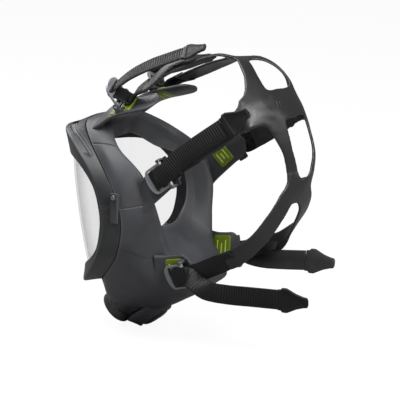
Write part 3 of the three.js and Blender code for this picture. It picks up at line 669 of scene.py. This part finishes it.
def rounded_slab(length, width, low, high, corner, bevel):
    """A plate with round corners and a soft upper edge, about its own middle."""
    def ring(inset, z):
        outline = []
        half = (length / 2 - inset, width / 2 - inset)
        radius = max(0.05, corner - inset)
        for quarter, (sx, sy) in enumerate(((1, 1), (-1, 1), (-1, -1), (1, -1))):
            for k in range(7):
                a = math.pi / 2 * (quarter + k / 6)
                outline.append((sx * (half[0] - radius) + radius * math.cos(a),
                                sy * (half[1] - radius) + radius * math.sin(a), z))
        return outline
    rows = [ring(0, low)]
    for k in range(5):
        a = math.pi / 2 * k / 4
        rows.append(ring(bevel * (1 - math.cos(a)), high - bevel + bevel * math.sin(a)))
    return loft(rows)


def slab_at(origin, axes, shift, *sizes):
    """A rounded slab, shifted along its own axes and set up at an origin."""
    points, faces = rounded_slab(*sizes)
    return origin + (points + shift) @ np.array(axes, float), faces


def on_both_faces(shapes):
    """Shapes on a plate's upper face, and the same on its lower face."""
    return together([part for p, f in shapes for part in ((p, f), (p * (1, 1, -1), f))])


def build_marker(place, side):
    """A plate set through the tab, with plain ribs on both of its faces."""
    name = f"{place}_{side}"
    curve, _ = smooth_path(tab_path(place, side), 120)
    middle = node_middle(f"marker_{name}") + FRAMES[name].along * INSERT_SHIFT[place]
    nearest = int(np.linalg.norm(curve - middle, axis=1).argmin())
    along = unit(curve[nearest + 1] - curve[nearest - 1])
    out = FRAMES[name].out
    out = unit(out - (out @ along) * along)
    axes = np.array([along, np.cross(out, along), out])
    length, width = MARKER_SIZE[place]
    half = INSERT_HALF[place]
    points, faces = on_both_faces([rounded_slab(length, width, 0, half, 2.2, 0.6)])
    piece(f"insert_{name}", (curve[nearest] + points @ axes, faces), MARKER,
          node=f"marker_{name}")
    ribs = []
    for k, share in ((-1, 0.62), (0, 0.4), (1, 0.62)):
        p, f = rounded_slab(1.4, width * share, 0.5, half + 0.45, 0.6, 0.35)
        ribs.append((p + (k * length * 0.24, 0, 0), f))
    points, faces = on_both_faces(ribs)
    # The ribs take the lighter green of the painted highlight.
    piece(f"insert_ribs_{name}", (curve[nearest] + points @ axes, faces), MARKER_RIB_HIGHLIGHT)


# ---------------- straps, tails and pull tabs


def rib_height(distance):
    """A row of crosswise ribs, each with sloping sides."""
    share = (distance % RIB_PITCH) / RIB_PITCH
    return RIB_HEIGHT * plateau(share, 0.08, 0.3, 0.62, 0.86)


def ribbed_outline(thickness, length, plain_start=1.5, plain_end=1.5):
    def outline(_, distance):
        on = distance > plain_start and length - distance > plain_end
        return band_outline(STRAP_WIDTH / 2, thickness, -rib_height(distance) if on else 0, 1.3)
    return outline


def tail_path(name):
    """From just before the buckle's bar to the pull tab."""
    spot = FRAMES[name]
    path = list(TAILS[name][0])
    if spot.lift == 0:
        return [spot.at(-BAR_REACH + 1, 0, 3.3), spot.at(5, 0, 3.8)] + path
    angle = math.radians(spot.lift)
    over = 2.6  # how far the strap lies past the bar
    reach = BAR_REACH + over
    return [spot.at(-reach * math.cos(angle) + over, 0, reach * math.sin(angle))] + path


TWIST = {"lower_left": 0.95}  # radians that a slack tail turns near its buckle


def tail_face(name):
    spot = FRAMES[name]
    hanging = name.startswith("lower")

    def at(u, point):
        if name in TWIST:
            bend = TWIST[name] * plateau(u, 0.1, 0.2, 0.22, 0.42)
            lean = np.array((math.cos(bend), 0, math.sin(bend)))
            return lean if u > 0.1 else spot.out * (1 - u / 0.1) + lean * u / 0.1
        later = np.array(HANGING_FACE) * (np.sign(point[0]), 1, 1) if hanging else head_face(point)
        w = min(1.0, u * 1.6)
        return spot.out * (1 - w) + later * w
    return at


def tail_piece(kind, name, shape, node):
    # The right lower tail gets the lighter copy of the strap rubber, as painted light.
    look = STRAP_PAINTED_LIGHT if name == "lower_right" else STRAP
    piece(f"{kind}_{name}", shape, look, body=f"tail_{name}", node=f"{node}_{name}", sharp=60)


def build_tail(name):
    path = tail_path(name)
    length = path_length(path)
    count = int(length / (RIB_PITCH / STEPS_PER_RIB))
    shape = sweep(path, tail_face(name), ribbed_outline(STRAP_THICKNESS, length), count)
    tail_piece("ribbed_tail", name, shape, "strap_tail")


# Share of the pull tab's length, and its width there.
ARROW = ((0, 21), (0.1, 21.4), (0.155, 25), (0.3, 25), (0.42, 21.5), (0.62, 15.5), (0.85, 11.2), (1, 10))


def build_pull_tab(name):
    path, tip = TAILS[name]
    end, tip = np.array(path[-1], float), np.array(tip, float)
    start = end + (tip - end) * 0.03
    face = tail_face(name)(1, end)
    shares, widths = zip(*ARROW)

    def outline(u, _):
        half = float(np.interp(u, shares, widths)) / 2
        half *= math.sqrt(max(0.3, 1 - max(0, (u - 0.95) / 0.05) ** 2 * 0.7))
        thickness = 3.2 - 1.2 * smoothstep(0.9, 1.0, u) - 0.6 * (1 - smoothstep(0, 0.08, u))
        dish = 0.5 * plateau(u, 0.17, 0.22, 0.86, 0.93)
        return band_outline(half, thickness, dish, 2.0)

    shape = sweep([start, (start + tip) / 2, tip], lambda u, p: face, outline, 90)
    tail_piece("grip", name, shape, "pull_tab")


LAP = 11.0  # plain end of the strap inside the web
PLAIN_START = 6.0  # plain end round the bar
# Sections of the strap round the bar, along and away from the head, from the buckle's pin.
FLAT_WRAP = ((-9.4, 3.2), (-11.8, 3.3), (-14.1, 2.4), (-15.1, 0.1), (-14.1, -2.3), (-11.8, -3.2), (-6, -3.3),
             (6, -3.3), (13, -3.3))
RAISED_WRAP = ((0.6, 14.9), (-1.3, 15.2), (-3.6, 14.2), (-4.5, 11.9), (-3.6, 9.5), (-1.0, 8.2), (3.0, 5.2),
               (6.5, 0.5), (9, -2.6), (13, -3.3))


def leg_sides(spot, points, along):
    """A leg's crosswise direction: along the bar first, then turning to lie on the head."""
    count = len(points)
    side = np.tile(spot.across, (count, 1))
    later = int(count * 0.75)
    for i in range(later, count):
        w = (i - later) / (count - later)
        target = np.cross(along[i], head_face(points[i]))
        if target @ spot.across < 0:
            target = -target
        side[i] = unit(side[i] * (1 - w) + unit(target) * w)
    return unit(side - (side * along).sum(1, keepdims=True) * along)


def build_leg_strap(name):
    """The ribbed strap from the buckle's bar back to the smooth web."""
    spot = FRAMES[name]
    wrap = RAISED_WRAP if spot.lift else FLAT_WRAP
    path = [spot.at(x, 0, z) for x, z in wrap] + list(LEGS[name][:2])
    length = path_length(path)
    points, _ = smooth_path(path, int(length / (RIB_PITCH / STEPS_PER_RIB)))
    along = unit(np.gradient(points, axis=0))
    side = leg_sides(spot, points, along)
    outline_at = ribbed_outline(STRAP_THICKNESS - 0.1, length, PLAIN_START, LAP)
    shape = skin(points, side, np.cross(side, along), outline_at, length)
    strap = piece(f"leg_strap_{name}", shape, STRAP, body=None, sharp=60)
    start, end = ((9, -2), (1, 8)) if spot.lift else ((4, 0), (-9, 0))
    places = [in_frame(spot.at(x, 0, z)).tolist() for x, z in (start, end)]
    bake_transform(strap)


# ---------------- surface of a field


def surface_net(field, low, step):
    """Quads over the zero surface of a field on an even grid; below zero is inside."""
    inside = field < 0
    size = np.array(field.shape) - 1
    corners = [(i, j, k) for i in (0, 1) for j in (0, 1) for k in (0, 1)]
    total = np.zeros(size, np.int8)
    for i, j, k in corners:
        total += inside[i:i + size[0], j:j + size[1], k:k + size[2]]
    cells = np.argwhere((total > 0) & (total < 8))
    ids = np.full(size, -1)
    ids[tuple(cells.T)] = np.arange(len(cells))
    values = [field[tuple((cells + corner).T)] for corner in corners]
    place = np.zeros((len(cells), 3))
    hits = np.zeros(len(cells))
    for a in range(8):
        for b in range(a + 1, 8):
            way = np.subtract(corners[b], corners[a])
            if sum(abs(way)) != 1:
                continue
            crossed = (values[a] < 0) != (values[b] < 0)
            share = values[a][crossed] / (values[a][crossed] - values[b][crossed])
            place[crossed] += np.array(corners[a]) + share[:, None] * way
            hits[crossed] += 1
    points = low + step * (cells + place / hits[:, None])
    faces = []
    for axis in range(3):
        u, v = [k for k in range(3) if k != axis]
        edges = np.argwhere(np.diff(inside, axis=axis))
        edges = edges[((edges[:, (u, v)] > 0) & (edges[:, (u, v)] < size[[u, v]])).all(1)]
        quad = []
        for du, dv in ((1, 1), (0, 1), (0, 0), (1, 0)):
            cell = edges.copy()
            cell[:, u] -= du
            cell[:, v] -= dv
            quad.append(ids[tuple(cell.T)])
        faces.append(np.stack(quad, 1))
    return points, np.vstack(faces)


def grid_points(low, high, step):
    shape = np.ceil((np.asarray(high) - low) / step).astype(int) + 1
    index = np.indices(shape).reshape(3, -1).T
    return shape, low + index * step


def soft_max(a, b, radius):
    return np.maximum(a, b) + np.maximum(radius - abs(a - b), 0) ** 2 / (4 * radius)


def soft_min(a, b, radius):
    return -soft_max(-a, -b, radius)


# ---------------- head harness

WEB_THICKNESS = 2.6
WEB_BLEND = 3.2  # how far neighbouring straps flow together
WEB_LEVEL = 6.5  # how far their heights even out
WEB_FADE = 6.0  # how far above its middle a strap still counts
WEB_ABOVE = 16.0  # how far above and beside a strap the grid is worked out
WEB_BESIDE = 14.0
WEB_EMPTY = 9.0  # the field's value where no strap is near
HEAD_CURVE = 90.0  # the straps are crowned to this radius across their width
LEG_START = 0.55  # the web starts this far along its leg's first span


def leg_face(name):
    """A leg leaves its buckle along the tab's face and then lies on the head."""
    start = FRAMES[name].out

    def at(u, point):
        lies = head_face(point)
        if name in FLAT_ENDS:
            rest, near, far = FLAT_ENDS[name]
            flat = smoothstep(near, far, point[1])
            lies = lies * (1 - flat) + np.array(rest) * flat
        w = min(1.0, 3.0 * u)
        return start * (1 - w) + lies * w
    return at


def web_strip(centres, face_at, width_at):
    """Samples about 1 mm apart along a strap of the web, with its directions and half width."""
    count = int(path_length(centres)) + 1
    points, along, side, out, _ = strip_frames(centres, face_at, count)
    return points, along, side, out, width_at(np.linspace(0, 1, count)) / 2


def web_strips():
    strips = []
    for name, path in LEGS.items():
        first, second = np.array(path[:2], float)
        centres = [first + (second - first) * LEG_START] + path[1:]
        change = NODE_WIDTH[name.split("_")[0]] - STRAP_WIDTH
        strips.append(web_strip(centres, leg_face(name),
                                lambda u: STRAP_WIDTH + 0.8 + change * smoothstep(0.6, 1, u)))
    for centres, widths in WEB_STRAPS:
        strips.append(web_strip(centres, lambda u, point: head_face(point),
                                lambda u: np.interp(u, (0, 0.5, 1), widths)))
    return strips


def near_samples(points, samples):
    """The index of each point's nearest sample, in chunks that keep memory small."""
    best = np.empty(len(points), int)
    norm = (samples ** 2).sum(1)
    for i in range(0, len(points), 50000):
        part = points[i:i + 50000]
        best[i:i + 50000] = (norm - 2 * part @ samples.T).argmin(1)
    return best


def add_strip(sums, low, step, strip):
    """Adds one strap's pull on the grid: how near its edge is, and how high the point lies over it."""
    points, along, side, out, half = strip
    margin = 8
    mask = np.zeros(sums["weight"].shape, bool)
    for p, h in list(zip(points, half))[::3]:
        a = np.maximum(0, ((p - h - margin - low) / step).astype(int))
        b = ((p + h + margin - low) / step).astype(int) + 1
        mask[a[0]:b[0], a[1]:b[1], a[2]:b[2]] = True
    index = np.argwhere(mask)
    at = low + index * step
    near = near_samples(at, points)
    travel = near + ((at - points[near]) * along[near]).sum(1)  # samples stand about 1 mm apart
    place = np.clip(travel, 0, len(points) - 1)
    first = np.minimum(place.astype(int), len(points) - 2)
    w = (place - first)[:, None]
    centre, face, across, reach = [row[first] * (1 - w) + row[first + 1] * w
                                   for row in (points, out, side, half[:, None])]
    offset = at - centre
    sideways = (offset * across).sum(1)
    up = (offset * face).sum(1) + sideways ** 2 / (2 * HEAD_CURVE)
    over = abs(sideways) - reach[:, 0]
    past = np.maximum(-travel, travel - (len(points) - 1))
    beyond = np.hypot(np.maximum(over, 0), np.maximum(past, 0))
    plane = np.where(beyond > 0, beyond, np.maximum(over, past))
    keep = (abs(up) < WEB_ABOVE) & (plane < WEB_BESIDE)
    index, up, plane = index[keep], up[keep], plane[keep]
    fade = (up / WEB_FADE) ** 2
    where = tuple(index.T)
    sums["weight"][where] += np.exp(-plane / WEB_BLEND - fade)
    share = np.exp(-plane / WEB_LEVEL - fade)
    sums["share"][where] += share
    sums["height"][where] += share * up


def build_web():
    step = 1.0
    tiny = 1e-6
    strips = web_strips()
    every = np.vstack([s[0] for s in strips])
    low, high = every.min(0) - 18, every.max(0) + 18
    shape = np.ceil((high - low) / step).astype(int) + 1
    sums = {key: np.zeros(shape) for key in ("weight", "share", "height")}
    for strip in strips:
        add_strip(sums, low, step, strip)
    known = sums["weight"] > tiny
    plane = np.where(known, -WEB_BLEND * np.log(np.maximum(sums["weight"], tiny)), WEB_EMPTY)
    up = np.where(known, sums["height"] / np.maximum(sums["share"], tiny), WEB_EMPTY)
    field = soft_max(abs(up) - WEB_THICKNESS / 2, plane, 1.6)
    web = piece("head_web", surface_net(field, low, step), WEB, node="harness_web", sharp=80)
    even = web.modifiers.new("even", "SMOOTH")
    even.factor = 0.5
    even.iterations = 8


def build_plate_ribs():
    """Three plain grip ribs on the rear plate."""
    middle = np.array((22, 118.5, 92.0))
    face = head_face(middle)
    across = unit(np.cross((0, 0, 1.0), face))
    axes = (across, np.cross(face, across), face)
    parts = [slab_at(middle, axes, (k * 3.0, 0, 0), 1.3, 7.0 - 2 * abs(k), -1.0, 2.1, 0.6, 0.4)
             for k in (-1, 0, 1)]
    piece("plate_ribs", together(parts), WEB)


# ---------------- chin unit


def opening_axes(opening):
    """An opening's middle, its two crosswise directions and its axis."""
    axis = unit(opening[1])
    side = unit(np.cross(axis, (1.0, 0, 0)))
    return np.array(opening[0], float), side, np.cross(axis, side), axis


def turned(profile, opening, segments=96):
    """A solid of revolution about an opening's axis from (radius, height) points."""
    at, side, other, axis = opening_axes(opening)
    rows = []
    for a in np.linspace(0, 2 * math.pi, segments, endpoint=False):
        way = side * math.cos(a) + other * math.sin(a)
        rows.append([at + way * r + axis * h for r, h in profile])
    return loft(rows, ring=True)


def plug(opening, radius, low, high, segments=64):
    """A plain disc on an opening's axis, to cut with."""
    return turned([(0, low), (radius, low), (radius, high), (0, high)], opening, segments)


def housing_axes():
    c, s = math.cos(HOUSING_TURN), math.sin(HOUSING_TURN)
    return np.array([(1, 0, 0), (0, c, -s), (0, s, c)])


def chin_ball_mesh(grow):
    a = np.linspace(0, math.pi, 33)[:, None]
    b = np.linspace(0, 2 * math.pi, 64, endpoint=False)
    ball = np.stack([np.sin(a) * np.cos(b), np.sin(a) * np.sin(b), np.cos(a) + 0 * b], 2)
    points, faces = loft(ball * (HOUSING_RADII + grow) @ housing_axes().T + HOUSING_MIDDLE)
    return points, faces[:-2]  # its ends meet in a point, so they need no caps


def ball_field(at):
    local = (at - HOUSING_MIDDLE) @ housing_axes()
    k0 = np.linalg.norm(local / HOUSING_RADII, axis=1)
    k1 = np.linalg.norm(local / HOUSING_RADII ** 2, axis=1)
    return k0 * (k0 - 1) / np.maximum(k1, 1e-9)


def disc_field(at, opening, radius, low, high):
    axis = unit(opening[1])
    offset = at - np.array(opening[0])
    run = offset @ axis
    radial = np.linalg.norm(offset - run[:, None] * axis, axis=1)
    return soft_max(radial - radius, np.maximum(low - run, run - high), 0.8)


# Opening, radius, lowest and highest place on its axis, and how softly it joins.
HOUSING_ADDS = [(INLET, INLET_RADIUS, -16, 1, 2.0), (VOICE, VOICE_RADIUS + 1.8, -10, 0, 1.5),
                (EXHALE, EXHALE_RADIUS + 2.6, -14, 1.5, 9.0), (EXHALE, EXHALE_RADIUS + 5.5, -16, 0.3, 7.0)]
HOUSING_CUTS = [(INLET, INLET_RADIUS - 3, -9, 40, 0.5), (VOICE, VOICE_RADIUS, -6, 40, 0.5),
                (EXHALE, EXHALE_RADIUS, -8, 40, 0.5)]


def build_housing():
    low, high = np.array((-32, -102, -166.0)), np.array((32, -6, -96.0))
    step = 0.75
    shape, at = grid_points(low, high, step)
    field = soft_max(ball_field(at), -disc_field(at, INLET, 44, 1, 60), 1.0)
    for *disc, blend in HOUSING_ADDS:
        field = soft_min(field, disc_field(at, *disc), blend)
    for *disc, blend in HOUSING_CUTS:
        field = soft_max(field, -disc_field(at, *disc), blend)
    field = np.maximum(field, at[:, 2] - HOUSING_TOP)
    net = surface_net(field.reshape(shape), low, step)
    piece("chin_housing", net, GLOSS, node="connector_housing", sharp=70)


def ring_profile(outer, inner, low, high, soft=0.35):
    return [(inner, low + soft), (inner + soft, low), (outer - soft, low), (outer, low + soft),
            (outer, high - soft), (outer - soft, high), (inner + soft, high), (inner, high - soft)]


def plate_profile(radius, low, high, soft=0.3):
    return [(0, low), (radius - soft, low), (radius, low + soft), (radius, high - soft),
            (radius - soft, high), (0, high)]


def cross_bars(opening, inner, low, high):
    """Two thin bars across a valve seat."""
    at, side, other, axis = opening_axes(opening)
    return [slab_at(at, axes, (0, 0, 0), 2 * inner + 1, 2.0, low, high, 0.8, 0.3)
            for axes in ((side, other, axis), (other, side, axis))]


def build_ports():
    port, voice, outlet = INLET_RADIUS, VOICE_RADIUS, EXHALE_RADIUS
    turned_parts = [
        ("port_ring", ring_profile(port - 0.5, port - 4, 1.4, 7, 0.8), INLET, STEEL, "steel", "root",
         "inlet_ring"),
        ("port_gasket", ring_profile(port - 3.5, port - 6.5, -2.6, -0.8), INLET, RUBBER, "rubber", "root",
         "inlet_gasket"),
        ("inhale_disc", plate_profile(port - 5, -6.4, -5.4), INLET, VALVE, "valve", "inhale_valve",
         "inhale_valve_disc"),
        ("voice_membrane", plate_profile(voice - GAP, -3, -2), VOICE, VALVE, "valve", "root",
         "speech_diaphragm"),
        ("exhale_disc", plate_profile(outlet - 2, -2.2, -1.2), EXHALE, VALVE, "valve", "exhale_valve",
         "exhale_valve_disc"),
    ]
    for name, profile, opening, look, slot, body, node in turned_parts:
        piece(name, turned(profile, opening), look, body=body, node=node)
    seats = [("inhale", INLET, port - 3.5, port - 6.5, -5, -3.2),
             ("exhale", EXHALE, outlet - GAP, outlet - 3.5, -4.4, -2.6)]
    for way, opening, outer, inner, low, high in seats:
        ring = turned(ring_profile(outer, inner, low, high), opening)
        shape = together([ring] + cross_bars(opening, inner, low, high))
        piece(f"{way}_seat", shape, FRAME, node=f"{way}_valve_seat")


def build_voice_grille():
    at, *axes = opening_axes(VOICE)
    parts = [turned(ring_profile(VOICE_RADIUS - GAP, VOICE_RADIUS - 2, -1.5, 0.6), VOICE)]
    for y in (-4, -2, 0, 2, 4):
        chord = 2 * math.sqrt((VOICE_RADIUS - 1.2) ** 2 - y * y)
        parts.append(slab_at(at, axes, (0, y, 0), chord, 0.9, -0.6, 0.4, 0.4, 0.2))
    piece("voice_grille", together(parts), FRAME, node="diaphragm_ring")


def build_exhale_cover():
    """A round cap with six slots in its wall."""
    outer, wall, rise = EXHALE_RADIUS + 1.6, 1.6, 8.0
    inner = outer - wall
    profile = [(0, rise), (outer - 7, rise - 0.25), (outer - 4, rise - 0.9), (outer - 1.6, rise - 2.2),
               (outer - 0.4, rise - 3.6), (outer, rise - 5), (outer, GAP + 0.3), (outer - 0.3, GAP),
               (inner, GAP), (inner, rise - 4.5), (outer - 4.6, rise - 1 - wall), (0, rise - wall)]
    cap = piece("outlet_cover", turned(profile, EXHALE), GLOSS, node="exhale_cover")
    at, side, other, axis = opening_axes(EXHALE)
    slots = []
    for i in range(6):
        a = (i + 0.5) * math.pi / 3
        way = side * math.cos(a) + other * math.sin(a)
        slots.append(slab_at(at, (way, np.cross(axis, way), axis), (outer, 0, 0), 8, 8, 1.7, 3.5, 0.8, 0.3))
    cut_with(cap, together(slots))


def build_outlet_collar():
    """The rubber chin cup rises round the outlet, and stops short of the inlet's face."""
    inner = EXHALE_RADIUS + 2.1
    steps = [(0, -3), (0, 4.6), (0.5, 5.3), (1.6, 5.5), (2.8, 4.6), (4.6, 1.5), (7.5, -2.5), (11, -6.5),
             (9, -8), (2, -5)]
    profile = [(inner + out, height) for out, height in steps]
    collar = piece("outlet_collar", turned(profile, EXHALE), RUBBER)
    cut_with(collar, plug(INLET, 44, 1.2, 30))


def build_spring():
    turns, low, high, radius, wire = 3, 2.1, 5.4, 7.0, 0.4
    at, side, other, axis = opening_axes(EXHALE)
    rows = []
    for share in np.linspace(0, 1, turns * 40):
        a = 2 * math.pi * turns * share
        out = side * math.cos(a) + other * math.sin(a)
        middle = at + out * radius * (0.55 + 0.45 * share) + axis * (low + (high - low) * share)
        rows.append([middle + wire * (out * math.cos(b) + axis * math.sin(b))
                     for b in np.linspace(0, 2 * math.pi, 10, endpoint=False)])
    piece("outlet_spring", loft(rows), STEEL, node="exhale_spring")


# ---------------- buckles and side clamps


def dress(node, look, width=0.45):
    """Gives a CAD node its finish and soft edges."""
    part = NODES[node]
    part.data.materials.clear()
    part.data.materials.append(look)
    weld = part.modifiers.new("weld", "WELD")
    weld.merge_threshold = 1e-6
    soft = part.modifiers.new("soft", "BEVEL")
    soft.width = width * MM
    soft.segments = 3
    soft.limit_method = "ANGLE"
    soft.angle_limit = math.radians(40)
    soft.harden_normals = False


def build_clamp_pad(side):
    """Fills the space between the curved frame and its flat clamp."""
    sign = SIDES[side]
    low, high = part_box(f"frame_clamp_{side}")
    size = (np.array(high) - np.array(low)) / MM
    depth = 5.5  # from the clamp's middle into the frame
    shape = slab_at(node_middle(f"frame_clamp_{side}"), [(0, 0, 1), (0, sign, 0), (sign, 0, 0)], (0, 0, 0),
                    size[2] - 3, size[1] - 1.6, -depth, -size[0] / 2 + 0.4, 1.5, 0.4)
    piece(f"clamp_pad_{side}", shape, FRAME)


def build_pin(name):
    spot = FRAMES[name]
    reach = LUG_Y + LUG_THICKNESS / 2
    profile = [(0, -reach - 0.5), (PIN_RADIUS + 0.5, -reach - 0.3), (PIN_RADIUS + 0.6, -reach + 0.1),
               (PIN_RADIUS, -reach + 0.15), (PIN_RADIUS, reach - 0.15), (PIN_RADIUS + 0.6, reach - 0.1),
               (PIN_RADIUS + 0.5, reach + 0.3), (0, reach + 0.5)]
    shape = turned(profile, (spot.pin, spot.across), 32)
    piece(f"hinge_pin_{name}", shape, STEEL, node=f"buckle_pin_{name}")


def build_base(name):
    """An open seat: two feet with an upright lug each, joined by two cross strips."""
    spot = FRAMES[name]
    low, high = -PIN_HEIGHT + GAP, -PIN_HEIGHT + GAP + 1.1
    lug_half, foot_place = 3.0, 12.7
    parts = []
    for side in (-1, 1):
        foot = (1.5, side * foot_place, 0)
        parts.append(slab_at(spot.pin, spot.axes, foot, 11, 6.4, low, high, 1.2, 0.35))
        lug = []
        for y, inset in ((-1.1, 0.3), (-0.8, 0), (0.8, 0), (1.1, 0.3)):
            half = lug_half - inset
            ring = [(-half, low + 0.5), (half, low + 0.5)]
            ring += [(half * math.cos(a), half * math.sin(a)) for a in np.linspace(0, math.pi, 13)]
            lug.append([spot.at(x, side * LUG_Y + y, z) for x, z in ring])
        parts.append(loft(lug))
    for x in (-2.9, 5.9):
        parts.append(slab_at(spot.pin, spot.axes, (x, 0, 0), 2.2, 22, low, high, 0.8, 0.35))
    piece(f"buckle_seat_{name}", together(parts), FRAME, node=f"buckle_base_{name}")


def dress_cad():
    for name in FRAMES:
        build_pin(name)
        build_base(name)
        dress(f"buckle_{name}", BUCKLE, 0.5)
    for side in SIDES:
        dress(f"frame_clamp_{side}", FRAME, 0.6)
        dress(f"frame_screw_{side}", STEEL, 0.3)
        build_clamp_pad(side)


# ---------------- studio

VIEW_AZIMUTH = 118
VIEW_ELEVATION = 13
VIEW_DISTANCE = 3000
VIEW_TARGET = (0, 22.7, -18.1)
VIEW_FIELD = 400  # millimetres across the picture at the target
BACKDROP = 1.0
ROOM_LIGHT = 0.2
FLOOR_LIFT = 0.93  # how bright the camera sees the floor, before any shadow
FLOOR_SHADE = 0.05  # how much shadow the camera sees on it
FLOOR_BOUNCE = 0.25  # how much light it throws back on the mask
FLOOR_SIZE = 24.0  # metres, like the next two
FLOOR_HEIGHT = -0.0005
LAMP_TARGET = (0, 0, 0.15)
LAMPS = {  # place and size in metres, power in watts
    "overhead": ((0.4, -0.3, 1.45), 0.7, 16),
    "rear": ((-0.4, 1.5, 0.7), 0.7, 5),
    "side": ((0.5, 1.1, 1.05), 0.45, 17),
    "front": ((-0.45, -1.25, 1.15), 0.8, 13),
}


def set_up(name, data, place, right, back):
    """Puts a camera or lamp at a place. It looks the opposite way to back."""
    made = bpy.data.objects.new(name, data)
    columns = np.column_stack([right, np.cross(back, right), back, place])
    made.matrix_world = Matrix([*columns.tolist(), (0, 0, 0, 1)])
    bpy.context.scene.collection.objects.link(made)
    return made


def camera():
    a, e = math.radians(VIEW_AZIMUTH), math.radians(VIEW_ELEVATION)
    back = np.array((math.sin(a) * math.cos(e), -math.cos(a) * math.cos(e), math.sin(e)))
    data = bpy.data.cameras.new("camera")
    data.sensor_width = 36
    data.lens = data.sensor_width * VIEW_DISTANCE / VIEW_FIELD
    data.clip_end = 50
    eye = in_frame(np.array(VIEW_TARGET) + back * VIEW_DISTANCE)
    bpy.context.scene.camera = set_up("camera", data, eye, (math.cos(a), math.sin(a), 0), back)


def lamps():
    for name, (place, size, power) in LAMPS.items():
        data = bpy.data.lights.new(name, "AREA")
        data.size = size
        data.energy = power
        back = unit(np.subtract(place, LAMP_TARGET))
        set_up(name, data, place, unit(np.cross((0, 1.0, 0.01), back)), back)


def room():
    """A white backdrop for the camera that gives the mask only a dim even light."""
    n = Nodes("studio", bpy.data.worlds, "Background")
    seen = n.add("ShaderNodeLightPath").outputs["Is Camera Ray"]
    n.set({"Color": (1, 1, 1, 1), "Strength": n.ramp(seen, ROOM_LIGHT, BACKDROP)})
    bpy.context.scene.world = n.made


def floor():
    n = Nodes("floor_pale")
    seen = n.add("ShaderNodeLightPath").outputs["Is Camera Ray"]
    n.set({"Base Color": n.mix(seen, (FLOOR_BOUNCE,) * 3, (FLOOR_SHADE,) * 3), "Roughness": 0.8,
           "Emission Color": (1, 1, 1, 1), "Emission Strength": n.ramp(seen, 0, FLOOR_LIFT)})
    far = FLOOR_SIZE / 2
    corners = [(x * far, y * far, FLOOR_HEIGHT) for x, y in ((-1, -1), (1, -1), (1, 1), (-1, 1))]
    mesh = bpy.data.meshes.new("floor")
    mesh.from_pydata(corners, [], [(0, 1, 2, 3)])
    mesh.materials.append(n.made)
    made = bpy.data.objects.new("floor", mesh)
    bpy.context.scene.collection.objects.link(made)


def studio():
    bpy.context.scene.view_settings.view_transform = "Standard"
    camera()
    room()
    lamps()
    floor()


# ---------------- assembly

build_lens()
build_frame()
build_skirt()
for place in PLACES:
    for side in SIDES:
        build_tab(place, side)
        build_marker(place, side)
for strap in FRAMES:
    build_tail(strap)
    build_pull_tab(strap)
    build_leg_strap(strap)
build_web()
build_plate_ribs()
build_housing()
build_ports()
build_voice_grille()
build_exhale_cover()
build_outlet_collar()
build_spring()
dress_cad()
studio()
